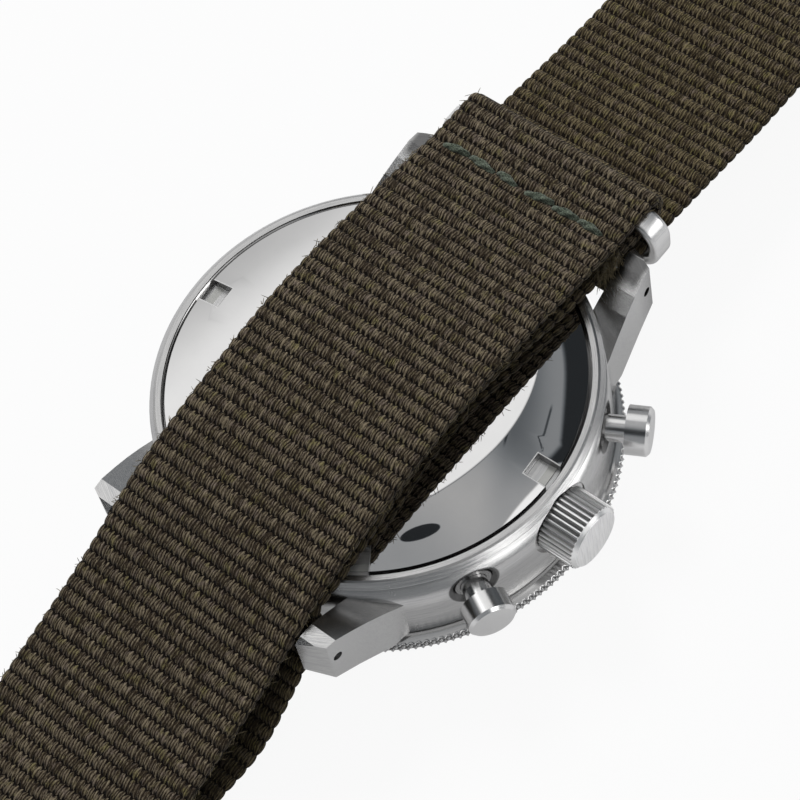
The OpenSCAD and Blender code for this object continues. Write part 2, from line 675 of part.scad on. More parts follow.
// Buckle: a frame and a tongue that both turn on one bar
buckle_in = strap_w + 0.6;
buckle_rail = 2;
module on_bar() { translate([0, buckle_y, buckle_z]) rotate([buckle_tilt, 0, 0]) children(); }
module buckle_frame() color(BRUSHED) on_bar() {
    x = buckle_in + 2 * buckle_rail;
    difference() {
        translate([0, 1.5 - buckle_l / 2, -buckle_t / 2]) linear_extrude(buckle_t) difference() {
            rounded(x, buckle_l, 2);
            rounded(buckle_in, buckle_l - 2 * buckle_rail, 0.8);
        }
        rotate([0, 90, 0]) cylinder(r = buckle_bar_r, h = buckle_in + 2, center = true);
        translate([-buckle_in / 2, -1.2, -2]) cube([buckle_in, 5, 5]);
        translate([-1, -buckle_l, buckle_t / 2 - 0.5]) cube([2, 6, 2]);
    }
}
module buckle_bar() color(NICKEL) on_bar()
    rotate([0, 90, 0]) cylinder(r = buckle_bar_r, h = buckle_in + 2, center = true);
module buckle_tongue() color(POLISHED) on_bar() {
    top = buckle_t / 2;
    difference() {
        union() {
            rotate([0, 90, 0]) cylinder(r = buckle_bar_r + 0.6, h = 1.7, center = true);
            strap_band(curve([[-0.3, 1], [-3, top + 0.5], [1.8 - buckle_l, top - 0.05]], 4), 0.7, 1.6);
        }
        rotate([0, 90, 0]) cylinder(r = buckle_bar_r + fit, h = 3, center = true);
    }
}

// Main plate with a hole for each pivot
module pivot_hole(p, z0, z1, r = pivot_r) {
    translate([p[0], p[1], 0]) disc(r + fit, z0 - eps, z1 + eps);
}
module main_plate() color(BRASS) {
    difference() {
        disc(plate_r, plate_z, train_z);
        disc(centre_ro + fit, plate_z - eps, train_z + eps);
        for (p = [barrel_p, third_p, fourth_p, escape_p, fork_p, balance_p,
            min_count_p, hour_count_p]) pivot_hole(p, plate_z, train_z);
    }
    for (a = [70, 160, 250]) rotate([0, 0, a]) translate([plate_r - 1.2, 0, 0])
        disc(0.9, train_z - eps, bridge_z);
    translate(minute_p) disc(pivot_r, motion_z + layer_gap, plate_z + 0.3);
}
module train_bridge() color(NICKEL) {
    difference() {
        disc(plate_r - 0.1, bridge_z, chrono_z);
        disc(centre_ro + fit, bridge_z - eps, chrono_z + eps);
        for (p = [barrel_p, third_p, fourth_p, escape_p, fork_p]) pivot_hole(p, bridge_z, chrono_z);
        for (p = [min_count_p, hour_count_p]) pivot_hole(p, bridge_z, chrono_z);
        translate(balance_p) disc(balance_r + 0.5, bridge_z - eps, chrono_z + eps);
        translate(cock_p) disc(0.6, bridge_z - eps, chrono_z + eps);
        translate([9.5, -1.5, bridge_z - eps]) cube([8, 3, bridge_t + 1]);
        for (s = [-1, 1]) at_pusher(s) translate([plate_r - 2.2, -2, bridge_z - eps])
            cube([4, 4, 3]);
    }
}

// Barrel with its spring, and the wheels of the going train
module barrel() color(BRASS) translate(barrel_p) {
    z0 = centre_pinion_z;
    difference() {
        union() {
            toothed(barrel_n, barrel_m, z0, 0.35, angle_to(barrel_p, centre_p));
            disc(barrel_n * barrel_m / 2 - 0.3, z0, z0 + barrel_h);
        }
        ring(barrel_n * barrel_m / 2 - 0.5, 1.1, z0 + 0.2, z0 + barrel_h - 0.2);
    }
    disc(pivot_r, train_z - 0.6, z0 + eps);
    disc(pivot_r, z0 + barrel_h - eps, bridge_z + 0.5);
}
module mainspring() color([0.45, 0.5, 0.6]) translate(barrel_p) {
    turns = 7;
    spiral(1.3, barrel_n * barrel_m / 2 - 0.62, turns, 0.12, centre_pinion_z + 0.3,
        centre_pinion_z + barrel_h - 0.3);
}
module spiral(r0, r1, turns, t, z0, z1) {
    steps = 16 * turns;
    path = [for (i = [0:steps]) polar(r0 + (r1 - r0) * i / steps, 360 * turns * i / steps)];
    translate([0, 0, z0]) linear_extrude(z1 - z0) polygon(band(path, t));
}
module centre_wheel() color(BRASS) difference() {
    union() {
        wheel(centre_n, centre_m, centre_wheel_z, angle_to(centre_p, third_p), 1);
        toothed(centre_pinion_n, barrel_m, centre_pinion_z, 0.55,
            angle_to(centre_p, barrel_p) + 180 / centre_pinion_n);
        disc(centre_ro, minute_hand_z + hand_t, chrono_z - 0.1);
    }
    disc(centre_ri, 0, chrono_z + 1);
}
module third_wheel() color(BRASS) translate(third_p) {
    wheel(third_n, third_m, third_wheel_z, angle_to(third_p, fourth_p));
    toothed(third_pinion_n, centre_m, centre_wheel_z, 0.9,
        angle_to(third_p, centre_p) + 180 / third_pinion_n);
    arbor(train_z + layer_gap, bridge_z - layer_gap, 0.3);
}
module fourth_wheel() color(BRASS) translate(fourth_p) {
    wheel(fourth_n, fourth_m, fourth_wheel_z, angle_to(fourth_p, escape_p), rim = 7);
    toothed(fourth_pinion_n, third_m, third_wheel_z - 0.1, 0.45,
        angle_to(fourth_p, third_p) + 180 / fourth_pinion_n);
    disc(0.29, train_z + layer_gap, bridge_z - layer_gap);
    disc(pivot_r, small_hand_z, bridge_z + 0.5);
}
module escape_wheel() color(NICKEL) translate(escape_p) {
    teeth = 20;
    difference() {
        translate([0, 0, escape_wheel_z]) linear_extrude(wheel_t) polygon([
            for (i = [0:teeth - 1], k = [0:3])
                polar([escape_r - 0.5, escape_r, escape_r, escape_r - 0.5][k],
                    (i + [0.1, 0.55, 0.7, 0.45][k]) * 360 / teeth)]);
        difference() {
            disc(escape_r - 0.8, escape_wheel_z - eps, escape_wheel_z + wheel_t + eps);
            disc(0.55, escape_wheel_z - 1, escape_wheel_z + 1);
            for (i = [0:3]) rotate([0, 0, i * 90])
                translate([0, -0.12, escape_wheel_z - 1]) cube([escape_r, 0.24, 2]);
        }
    }
    toothed(escape_pinion_n, fourth_m, fourth_wheel_z - 0.1, 0.45,
        angle_to(escape_p, fourth_p) + 180 / escape_pinion_n);
    disc(0.16, train_z, bridge_z);
    disc(pivot_r, train_z - 0.6, train_z + 0.3);
    disc(pivot_r, bridge_z - 0.2, bridge_z + 0.5);
}
// Lever with two pallets towards the escape wheel and a fork towards the balance
module pallet_fork() color(NICKEL) translate(fork_p) {
    a = angle_to(fork_p, escape_p);
    rotate([0, 0, a]) translate([0, 0, escape_wheel_z]) linear_extrude(wheel_t) polygon([
        [0.3, 0.35], [0.6, 1.9], [1.1, 2.1], [1.35, 1.6], [0.9, 1.5], [0.55, 0.3],
        [0.55, -0.3], [0.9, -1.5], [1.35, -1.6], [1.1, -2.1], [0.6, -1.9], [0.3, -0.35],
        [-1.9, -0.14], [-2.3, -0.4], [-2.4, -0.22], [-2.1, 0], [-2.4, 0.22], [-2.3, 0.4],
        [-1.9, 0.14]]);
    disc(0.3, train_z + layer_gap, bridge_z - layer_gap);
    disc(0.2, train_z - 0.6, bridge_z + 0.04);
}
module balance_wheel() color(BRASS) translate(balance_p) {
    z = bridge_z + 0.1;
    ring(balance_r, balance_r - 0.6, z, z + 0.45);
    for (i = [0:2]) rotate([0, 0, 30 + i * 120]) translate([0, -0.2, z + 0.1])
        cube([balance_r - 0.3, 0.4, 0.2]);
    disc(0.55, z, z + 0.6);
    disc(0.66, z + 0.58, z + 0.75);
    disc(0.3, train_z + layer_gap, top_bridge_z - 0.1);
    disc(pivot_r, train_z - 0.6, top_bridge_z + 0.25);
    disc(0.75, escape_wheel_z + 0.1, escape_wheel_z + 0.35);
}
module hairspring() color([0.35, 0.4, 0.6]) translate(balance_p)
    spiral(0.7, 2.2, 6, 0.06, bridge_z + 0.68, bridge_z + 0.83);
module balance_cock() color(NICKEL) {
    difference() {
        hull() {
            translate(balance_p) disc(1.4, top_bridge_z, top_bridge_z + top_bridge_t);
            translate(cock_p) disc(0.8, top_bridge_z, top_bridge_z + top_bridge_t);
        }
        pivot_hole(balance_p, top_bridge_z, top_bridge_z + top_bridge_t);
    }
    translate(cock_p) disc(0.6, train_z, top_bridge_z + eps);
}

// Motion work between the dial and the main plate
module cannon_pinion() color(NICKEL) difference() {
    union() {
        disc(cannon_ro, minute_hand_z + hand_t, plate_z - 0.48);
        toothed(cannon_n, motion_m, plate_z - 0.5, 0.4, angle_to(centre_p, minute_p));
    }
    disc(centre_ro, 0, plate_z + 1);
}
module minute_wheel() color(BRASS) translate(minute_p) difference() {
    union() {
        wheel(minute_n, motion_m, plate_z - 0.4, angle_to(minute_p, centre_p) + 180 / minute_n, 0.8);
        toothed(minute_pinion_n, hour_m, motion_z, plate_z - 0.4 - motion_z + eps,
            angle_to(minute_p, centre_p));
    }
    disc(pivot_r + fit, 0, plate_z + 1);
}
module hour_wheel() color(BRASS) difference() {
    union() {
        toothed(hour_n, hour_m, motion_z, 0.25, angle_to(centre_p, minute_p) + 180 / hour_n);
        disc(hour_ro, hour_hand_z + hand_t, motion_z + 0.1);
    }
    disc(hour_ri, 0, plate_z + 1);
}

// Chronograph wheels above the train bridge
module counter_wheel(p, n) {
    translate(p) {
        wheel(n, 0.1, chrono_z + 0.35, 0, 0.6);
        disc(0.28, chrono_z + layer_gap, top_bridge_z - layer_gap);
        disc(pivot_r, small_hand_z, top_bridge_z + 0.35);
    }
}
module chronograph_wheel() color(BRASS) {
    wheel(80, 0.1, chrono_z + 0.4, 0, 1);
    disc(chrono_arbor_r, chrono_hand_z, top_bridge_z + 0.3);
}
module minute_counter_wheel() color(BRASS) counter_wheel(min_count_p, 48);
module hour_counter_wheel() color(BRASS) counter_wheel(hour_count_p, 48);

// Levers that the pushers move, each turning on a post
lever_pivot_r = 0.4;
lever_x = plate_r - 2.3;
module chrono_lever(s) {
    pivot = polar(lever_x, s * 52);
    tab = polar(14.6, s * pusher_a);
    tip = [5.4, s * 1.4];
    z = chrono_z + layer_gap;
    color(NICKEL) difference() {
        union() {
            translate([0, 0, z]) linear_extrude(0.25) union() {
                thick_line(pivot, tab, 0.5);
                thick_line(tab, tip, 0.4);
            }
            translate(pivot) disc(0.85, z, z + 0.25);
            at_pusher(s) translate([14.3, -0.6, crown_z - 0.5]) cube([0.7, 1.2, z - crown_z + 0.6]);
        }
        translate(pivot) disc(lever_pivot_r + fit, z - 1, z + 2);
    }
}
module thick_line(p, q, w) {
    a = angle_to(p, q);
    polygon([p + polar(w, a + 135), p + polar(w, a - 135), q + polar(w, a - 45),
        q + polar(w, a + 45)]);
}
module start_lever() { chrono_lever(-1); }
module reset_lever() { chrono_lever(1); }
module chronograph_bridge() color(NICKEL) {
    difference() {
        union() {
            disc(9.6, top_bridge_z, top_bridge_z + top_bridge_t);
            for (s = [-1, 1]) translate(polar(lever_x, s * 52)) {
                disc(0.9, top_bridge_z, top_bridge_z + top_bridge_t);
                disc(lever_pivot_r, chrono_z, top_bridge_z + eps);
            }
            for (s = [-1, 1]) rotate([0, 0, s * 52]) translate([9, -0.8, top_bridge_z])
                cube([lever_x - 9, 1.6, top_bridge_t]);
            for (a = [150, 205]) rotate([0, 0, a]) translate([8.8, 0, 0])
                disc(0.6, chrono_z, top_bridge_z + eps);
        }
        disc(chrono_arbor_r + fit, top_bridge_z - eps, top_bridge_z + 1);
        for (p = [min_count_p, hour_count_p]) pivot_hole(p, top_bridge_z, top_bridge_z + 1);
        translate(balance_p) disc(1.6, top_bridge_z - 1, top_bridge_z + 1);
    }
    disc(0.8, top_bridge_z + 0.35, rotor_z - 0.1);
}

// Winding rotor: half a disc with a thick rim, on a ball bearing
module rotor() color(POLISHED) {
    difference() {
        union() {
            disc(plate_r - 0.5, rotor_z, rotor_z + rotor_t);
            ring(plate_r - 0.5, plate_r - 2.3, rotor_z - 0.2, rotor_z + eps);
        }
        disc(1.7, rotor_z - 1, rotor_z + 1);
        difference() {
            translate([0, -plate_r - 5, rotor_z - 2]) cube([plate_r + 5, 2 * plate_r + 10, 4]);
            disc(3, rotor_z - 3, rotor_z + 3);
        }
        for (a = [120:40:240]) rotate([0, 0, a]) translate([7.5, 0, 0])
            disc(1.5, rotor_z - 1, rotor_z + 1);
    }
}
module rotor_bearing() color(NICKEL) {
    disc(0.8, rotor_z - 0.1, rotor_z + 0.1);
    disc(1.7 - fit, rotor_z, rotor_z + rotor_t + 0.05);
    disc(2.2, rotor_z + rotor_t + 0.04, rotor_z + rotor_t + 0.2);
}

// Hands, each a thin blade with a round boss
module hand(length, width, tail, boss, hole, z) {
    difference() {
        translate([0, 0, z]) linear_extrude(hand_t) union() {
            circle(r = boss, $fn = 48);
            polygon([[-width / 2, -tail], [width / 2, -tail], [width / 2, length * 0.8],
                [0, length], [-width / 2, length * 0.8]]);
        }
        disc(hole, z - 1, z + 1);
    }
}
module hour_hand() color(POLISHED) rotate([0, 0, 125])
    hand(8.2, 1, 1, hour_ro + 0.3, cannon_ro + fit, hour_hand_z);
module minute_hand() color(POLISHED) rotate([0, 0, -60])
    hand(12, 0.9, 1, cannon_ro + 0.25, chrono_arbor_r + fit, minute_hand_z);
module chronograph_hand() color(POLISHED) rotate([0, 0, 180])
    hand(13.2, 0.3, 4, 0.6, 0.1, chrono_hand_z - hand_t);
module seconds_hand() color(POLISHED) translate(fourth_p) rotate([0, 0, 40])
    hand(2.6, 0.3, 0.7, 0.42, 0.1, small_hand_z - hand_t);
module minute_counter_hand() color(POLISHED) translate(min_count_p) rotate([0, 0, 180])
    hand(2.6, 0.3, 0.7, 0.42, 0.1, small_hand_z - hand_t);
module hour_counter_hand() color(POLISHED) translate(hour_count_p) rotate([0, 0, 180])
    hand(2.6, 0.3, 0.7, 0.42, 0.1, small_hand_z - hand_t);

case_body();
caseback();
caseback_gasket();
bezel();
bezel_wire();
bezel_click_spring();
crystal();
crystal_gasket();
flange_ring();
dial();
movement_holder();
crown();
crown_gasket();
crown_tube();
winding_stem();
start_pusher();
reset_pusher();
start_pusher_clip();
reset_pusher_clip();
pusher_tubes();
pusher_springs();
spring_bar_tubes();
spring_bar_pins();
long_strap();
short_strap();
strap_ring();
fixed_keeper();
sliding_keeper();
buckle_frame();
buckle_bar();
buckle_tongue();
main_plate();
train_bridge();
barrel();
mainspring();
centre_wheel();
third_wheel();
fourth_wheel();
escape_wheel();
pallet_fork();
balance_wheel();
hairspring();
balance_cock();
cannon_pinion();
minute_wheel();
hour_wheel();
chronograph_wheel();
minute_counter_wheel();
hour_counter_wheel();
start_lever();
reset_lever();
chronograph_bridge();
rotor();
rotor_bearing();
hour_hand();
minute_hand();
chronograph_hand();
seconds_hand();
minute_counter_hand();
hour_counter_hand();
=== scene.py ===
# %% [markdown]
# # A chronograph watch lying face down on its ribbed nylon strap
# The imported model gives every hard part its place. This notebook gives the parts their finishes and
# builds what a solid modeller leaves plain: two ribbed straps, their stitches and stray fibres,
# rounded strap rings and the knurled edge of the bezel. All lengths are worked out in millimetres
# and turned into metres when a mesh is made.

# %% Load the fixed frame
import json
import math

import bpy
import numpy as np
from mathutils import Matrix

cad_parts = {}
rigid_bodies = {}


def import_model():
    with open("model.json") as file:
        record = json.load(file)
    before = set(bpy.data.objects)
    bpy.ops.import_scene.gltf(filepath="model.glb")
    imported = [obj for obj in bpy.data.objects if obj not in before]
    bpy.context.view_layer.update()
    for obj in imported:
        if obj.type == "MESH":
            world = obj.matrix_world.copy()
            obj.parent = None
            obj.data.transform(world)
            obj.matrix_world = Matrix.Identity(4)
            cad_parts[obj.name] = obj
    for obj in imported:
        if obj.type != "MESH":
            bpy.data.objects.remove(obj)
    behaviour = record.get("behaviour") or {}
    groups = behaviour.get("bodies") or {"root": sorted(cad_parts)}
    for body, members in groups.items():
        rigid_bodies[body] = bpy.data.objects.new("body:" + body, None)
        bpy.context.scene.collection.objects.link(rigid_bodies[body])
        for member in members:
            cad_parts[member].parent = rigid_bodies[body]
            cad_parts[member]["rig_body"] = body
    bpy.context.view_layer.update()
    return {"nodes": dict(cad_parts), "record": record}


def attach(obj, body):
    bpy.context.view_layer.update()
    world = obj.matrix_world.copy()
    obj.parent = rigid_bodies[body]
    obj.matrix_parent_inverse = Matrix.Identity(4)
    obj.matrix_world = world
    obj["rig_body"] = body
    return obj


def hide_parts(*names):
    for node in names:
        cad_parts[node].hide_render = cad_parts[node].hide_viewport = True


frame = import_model()
MM = 0.001
nodes = frame["nodes"]

# %% [markdown]
# ## The camera
# The watch is looked at with a long lens from above the crown side. A field of view of 16 degrees
# keeps the case's ellipses flat. A camera can be aimed with angles or with a target; here its own
# axes are written straight into its matrix, because they came out of a perspective fit. The columns
# are right, up, backwards and its place in metres.

# %% Camera
camera_data = bpy.data.cameras.new("long_lens")
camera_data.sensor_width = 36
camera_data.lens = 128.13
camera_data.clip_start = 10 * MM
camera = bpy.data.objects.new("camera", camera_data)
bpy.context.scene.collection.objects.link(camera)
camera.matrix_world = Matrix((
    (0.77191, -0.49234, 0.40219, 0.09748),
    (0.62254, 0.71358, -0.32131, -0.07581),
    (-0.12881, 0.4984, 0.85732, 0.21349),
    (0, 0, 0, 1)))
bpy.context.scene.camera = camera
bpy.context.scene.view_settings.view_transform = "Standard"
print("field of view", round(math.degrees(camera_data.angle), 2), "degrees")

# %% [markdown]
# ## Shader sums in plain Python
# A material is a sum worked out at each point of a surface. Wiring that by hand hides the formula,
# so `Field` wraps one socket and lets `a * 2 + b` lay down the Math nodes. `Paint` holds one node
# tree, makes any other node through one method, and ends in the usual surface shader.

# %% Field and Paint
class Field:
    """One shader socket. Sums with numbers or other fields add Math nodes."""

    def __init__(self, paint, socket):
        self.paint, self.socket = paint, socket

    def maths(self, operation, *values):
        """A Math node with this field as its first value."""
        return self.paint.maths(operation, self, *values)

    def __add__(self, other):
        return self.maths("ADD", other)

    def __sub__(self, other):
        return self.maths("SUBTRACT", other)

    def __rsub__(self, other):
        return self.paint.maths("SUBTRACT", other, self)

    def __mul__(self, other):
        return self.maths("MULTIPLY", other)

    def __truediv__(self, other):
        return self.maths("DIVIDE", other)

    def __pow__(self, other):
        return self.maths("POWER", other)

    def __abs__(self):
        return self.maths("ABSOLUTE")

    def step(self, low, high):
        """0 below low, 1 above high, and an S curve between them."""
        return self.paint.node("ShaderNodeMapRange", {"interpolation_type": "SMOOTHSTEP"},
                               {"Value": self, "From Min": low, "From Max": high})

    __radd__ = __add__
    __rmul__ = __mul__


class Paint:
    """One node tree under construction."""

    def __init__(self, tree):
        self.tree = tree
        tree.nodes.clear()

    def node(self, kind, settings=None, inputs=None, out=0):
        """Any node: its settings first, then the values or links of its sockets."""
        made = self.tree.nodes.new(kind)
        for name, value in (settings or {}).items():
            setattr(made, name, value)
        for name, value in (inputs or {}).items():
            if isinstance(value, Field):
                self.tree.links.new(value.socket, made.inputs[name])
            else:
                made.inputs[name].default_value = value
        return Field(self, made.outputs[out])

    def maths(self, operation, *values):
        """A Math node on up to three fields or numbers."""
        return self.node("ShaderNodeMath", {"operation": operation}, dict(enumerate(values)))

    def split(self, vector):
        """The three numbers of a vector, as fields."""
        return self.outputs(self.node("ShaderNodeSeparateXYZ", None, {0: vector}))

    def outputs(self, field):
        """Every output of the node that a field comes from."""
        return [Field(self, socket) for socket in field.socket.node.outputs]

    def rays(self):
        """Three masks: rays seen by the camera, glossy rays, and rays through glass."""
        path = self.outputs(self.node("ShaderNodeLightPath"))
        return path[0], path[3], path[6]

    def join(self, x, y, z):
        """One vector from three fields or numbers."""
        return self.node("ShaderNodeCombineXYZ", None, {0: x, 1: y, 2: z})

    def place(self):
        """Object coordinates in millimetres, as three fields."""
        where = self.node("ShaderNodeTexCoord", out=3)
        scaled = self.node("ShaderNodeVectorMath", {"operation": "SCALE"}, {0: where, "Scale": 1000.0})
        return self.split(scaled)

    def noise(self, vector, detail=2.0, rough=0.5):
        """Perlin noise from 0 to 1 at a vector that is already scaled."""
        return self.node("ShaderNodeTexNoise", None,
                         {"Vector": vector, "Scale": 1.0, "Detail": detail, "Roughness": rough})

    def mix(self, factor, a, b):
        """Colour a where factor is 0 and colour b where it is 1."""
        return self.node("ShaderNodeMix", {"data_type": "RGBA"}, {0: factor, 6: a, 7: b}, out=2)

    def bump(self, height, distance):
        """A normal from a height of 0 to 1 that stands for distance millimetres."""
        return self.node("ShaderNodeBump", None,
                         {"Strength": 1.0, "Distance": distance * MM, "Height": height})

    def surface(self, **sockets):
        """The shader that ends the tree; a socket's name is written with _ for each space."""
        named = {name.replace("_", " "): value for name, value in sockets.items()}
        shader = self.node("ShaderNodeBsdfPrincipled", None, named)
        self.node_output(shader)

    def node_output(self, shader, kind="ShaderNodeOutputMaterial"):
        """Link a shader to a new output node, which ends the tree."""
        output = self.tree.nodes.new(kind)
        self.tree.links.new(shader.socket, output.inputs[0])


def material(name):
    """A new material and the Paint that fills it."""
    made = bpy.data.materials.new(name)
    made.use_nodes = True
    return made, Paint(made.node_tree)


def rgb(r, g, b):
    """A colour given as 0 to 255, as it looks on a screen, in the linear numbers a shader needs."""
    c = np.array([r, g, b], float) / 255
    linear = np.where(c <= 0.04045, c / 12.92, ((c + 0.055) / 1.055) ** 2.4)
    return (*map(float, linear), 1.0)


print("olive cloth in linear numbers:", [round(v, 4) for v in rgb(70, 62, 42)])

# %% [markdown]
# ## Surfaces from arrays
# The straps, rings and toothed bezel could be modelled by hand with extrusions and modifiers. Here
# each is a grid of points instead: rows along a path, columns round a section. A formula places whole
# grids at once and keeps every rib at its true size, and one function turns any grid into a mesh.

# %% Grid to mesh
def add_mesh(name, points, faces, body, uv=None):
    """An object at the origin from points in millimetres and a list of face index arrays.
    uv holds one pair for every corner, in the order of the faces."""
    mesh = bpy.data.meshes.new(name)
    corners = np.concatenate([np.asarray(f).reshape(-1) for f in faces]).astype(np.int32)
    sizes = np.concatenate([np.full(len(f), np.shape(f)[1]) for f in faces]).astype(np.int32)
    starts = (np.cumsum(sizes) - sizes).astype(np.int32)
    mesh.vertices.add(len(points))
    mesh.vertices.foreach_set("co", (np.asarray(points) * MM).astype(np.float32).ravel())
    mesh.loops.add(len(corners))
    mesh.loops.foreach_set("vertex_index", corners)
    mesh.polygons.add(len(sizes))
    mesh.polygons.foreach_set("loop_start", starts)
    mesh.polygons.foreach_set("use_smooth", np.ones(len(sizes), bool))
    if uv is not None:
        layer = mesh.uv_layers.new(name="cloth")
        layer.data.foreach_set("uv", np.asarray(uv, np.float32).ravel())
    mesh.update()
    mesh.validate()
    made = bpy.data.objects.new(name, mesh)
    bpy.context.scene.collection.objects.link(made)
    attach(made, body)
    return made


def tube_faces(rows, columns):
    """Quads of a grid whose columns close round, and its two end caps. The first cap runs the other
    way round, so that both look outwards."""
    index = np.arange(rows * columns).reshape(rows, columns)
    beside = np.roll(index, -1, axis=1)
    quads = np.stack([index[:-1], beside[:-1], beside[1:], index[1:]], axis=-1)
    return quads, [index[0][::-1][None], index[-1][None]]


def ring_faces(rows, columns):
    """Quads of a grid that closes both ways: corner, beside, beside and ahead, ahead."""
    index = np.arange(rows * columns).reshape(rows, columns)
    beside, ahead = np.roll(index, -1, axis=1), np.roll(index, -1, axis=0)
    return np.stack([index, beside, np.roll(beside, -1, axis=0), ahead], axis=-1).reshape(-1, 4)


def triangles(made):
    """How many triangles a mesh has."""
    made.data.calc_loop_triangles()
    return len(made.data.loop_triangles)


print("a 4 by 3 tube has", tube_faces(4, 3)[0].size // 4, "quads")

# %% [markdown]
# ## The route of each strap
# The strap is one pass-through band. Its long part folds round the buckle's bar, runs under one
# spring bar, over the caseback and under the other bar. The short part lies on top and folds round
# a ring. A cloth simulation could drape them, but a drawn route keeps the known length and the play
# at each bar. Each route is a side view: y along the strap, z up, through the middle of the cloth.
# Arcs go round the bars, and a curve through given points (Catmull-Rom) makes the easy bends.

# %% Routes
def arc(centre, radius, start, end, count):
    """Points on a circle, from one angle to the other in degrees."""
    a = np.radians(np.linspace(start, end, count + 1))
    return np.array(centre) + radius * np.stack([np.cos(a), np.sin(a)], axis=1)


def easy(points, steps=12):
    """Catmull-Rom curve: each span is a cubic whose slope at a point is half the step
    between its neighbours."""
    p = np.array(points, float)
    p = np.concatenate([2 * p[:1] - p[1:2], p, 2 * p[-1:] - p[-2:-1]])
    t = (np.arange(steps) / steps)[None, :, None]
    a, b, c, d = p[:-3, None], p[1:-2, None], p[2:-1, None], p[3:, None]
    curve = 0.5 * (2 * b + (c - a) * t + (2 * a - 5 * b + 4 * c - d) * t ** 2
                   + (3 * b - a - 3 * c + d) * t ** 3)
    return np.concatenate([curve.reshape(-1, 2), p[-2:-1]])


STRAP_W, STRAP_T = 20.0, 1.05
GAP = 0.1                                   # play between the cloth and what it touches
cloth = STRAP_T / 2                         # from the route, the cloth's middle, to its faces
rim_z, back_z = 12.0, 13.3                  # the caseback's rim and its domed middle
bar_y, bar_z, bar_r = 20.65, 9.8, 0.65      # the spring bars, at plus and minus bar_y
over_back_z = back_z + cloth + GAP
bend_r = bar_r + cloth + GAP
top_r, top_z = 0.375 + cloth, rim_z - 0.28  # the bend from a bar up to the caseback
top_y = bar_y - bend_r - top_r
# The strap ring: its middle, its opening and its bar, and the short strap's fold round it
ring_y, ring_z, ring_gap, ring_t, ring_w = 24.6, 10.85, 3.9, 1.0, 2.4
ring_in_z = ring_z - ring_gap / 2 + cloth + GAP
fold_in_z = ring_z + ring_gap / 2 - cloth - GAP
fold_out_z = ring_z + ring_gap / 2 + ring_t + cloth + GAP
fold_r = (fold_out_z - fold_in_z) / 2
fold_mid = (ring_y + ring_w / 2 - 0.25, fold_in_z + fold_r)
lay_z = ring_t + cloth + GAP                # on the lower bar of a keeper
# The buckle's bar, the long strap's fold round it, and the tail
buckle_y, buckle_bar_r = -88.0, 0.75
buckle_z = 2 * cloth + buckle_bar_r + 0.15
bar_fold_r = buckle_bar_r + cloth + GAP
low_z, tail_y = buckle_z - bar_fold_r, 166.0
long_route = np.concatenate([
    [[buckle_y + 5.5, low_z], [buckle_y + 2.5, low_z]],
    arc((buckle_y, buckle_z), bar_fold_r, 270, 78, 40),
    easy([(buckle_y + 2.2, buckle_z + bar_fold_r - 0.45), (buckle_y + 4.5, lay_z + 0.75),
          (buckle_y + 7, lay_z + 0.15), (buckle_y + 10, lay_z), (-74, lay_z), (-64, lay_z + 0.1),
          (-55, lay_z + 1.2), (-46, 4.3), (-41, 4.1), (-34, 2.9), (-29, 2.8), (-25, 5),
          (-bar_y - 0.75, bar_z - bend_r - 0.875)]),
    arc((-bar_y, bar_z), bend_r, -50, 0, 16),
    arc((-top_y, top_z), top_r, 180, 100, 16),
    easy([(-17.4, rim_z + 0.195 + cloth), (-14, rim_z + 0.625 + cloth), (-7, over_back_z - 0.15),
          (0, over_back_z), (7, over_back_z - 0.15), (14, rim_z + 0.625 + cloth),
          (17.4, rim_z + 0.195 + cloth)]),
    arc((top_y, top_z), top_r, 80, 0, 16),
    arc((bar_y, bar_z), bend_r, 180, 284, 24),
    easy([(bar_y + 1.55, bar_z - bend_r + 0.455), (ring_y - 1.3, ring_in_z + 0.02),
          (ring_y + 1.2, ring_in_z), (32, 8.7), (41, 7.5), (53, 6.7), (66, 4.7), (80, 2.5),
          (92, 1.15), (102, cloth + 0.1), (112, cloth + 0.02), (tail_y, cloth + 0.01)])])
short_route = np.concatenate([
    easy([(-54, 4.2), (-50, 5.0), (-46, 5.55), (-41, 6.1), (-34, 8), (-26.5, 10.45), (-19.4, 13.6),
          (-16, 14.6), (-9.5, 15.85), (0, 16.85), (9.5, 16.25), (17, 15.1),
          (21, fold_out_z + 0.15), (ring_y - 1, fold_out_z)]),
    arc(fold_mid, fold_r, 80, -80, 24),
    easy([(ring_y - 0.6, fold_in_z), (21.9, fold_in_z + 0.25), (20.4, fold_in_z + 0.75)])])


def measured(route):
    """The route without repeated points, and the distance along it at each one."""
    steps = np.hypot(*np.diff(route, axis=0).T)
    route = route[np.concatenate([[True], steps > 0.02])]
    return route, np.concatenate([[0], np.cumsum(np.hypot(*np.diff(route, axis=0).T))])


long_route, long_s = measured(long_route)
short_route, short_s = measured(short_route)
print("long strap", round(long_s[-1], 1), "mm, short strap", round(short_s[-1], 1), "mm")

# %% [markdown]
# ## Ribbed webbing
# The webbing is woven with thick threads across it, which make ribs, and thin threads along it, which
# show as plump grains on every rib. A bump map alone could hint at both, but the ribs have to catch
# light and break the strap's outline, so they are real shape; the grains are left to the material.
# A section with round edges is carried along the route. A rib is a broad crest that falls off
# steeply on both sides to the gap. Holes are blocks of faces left out, with a wall round the opening.

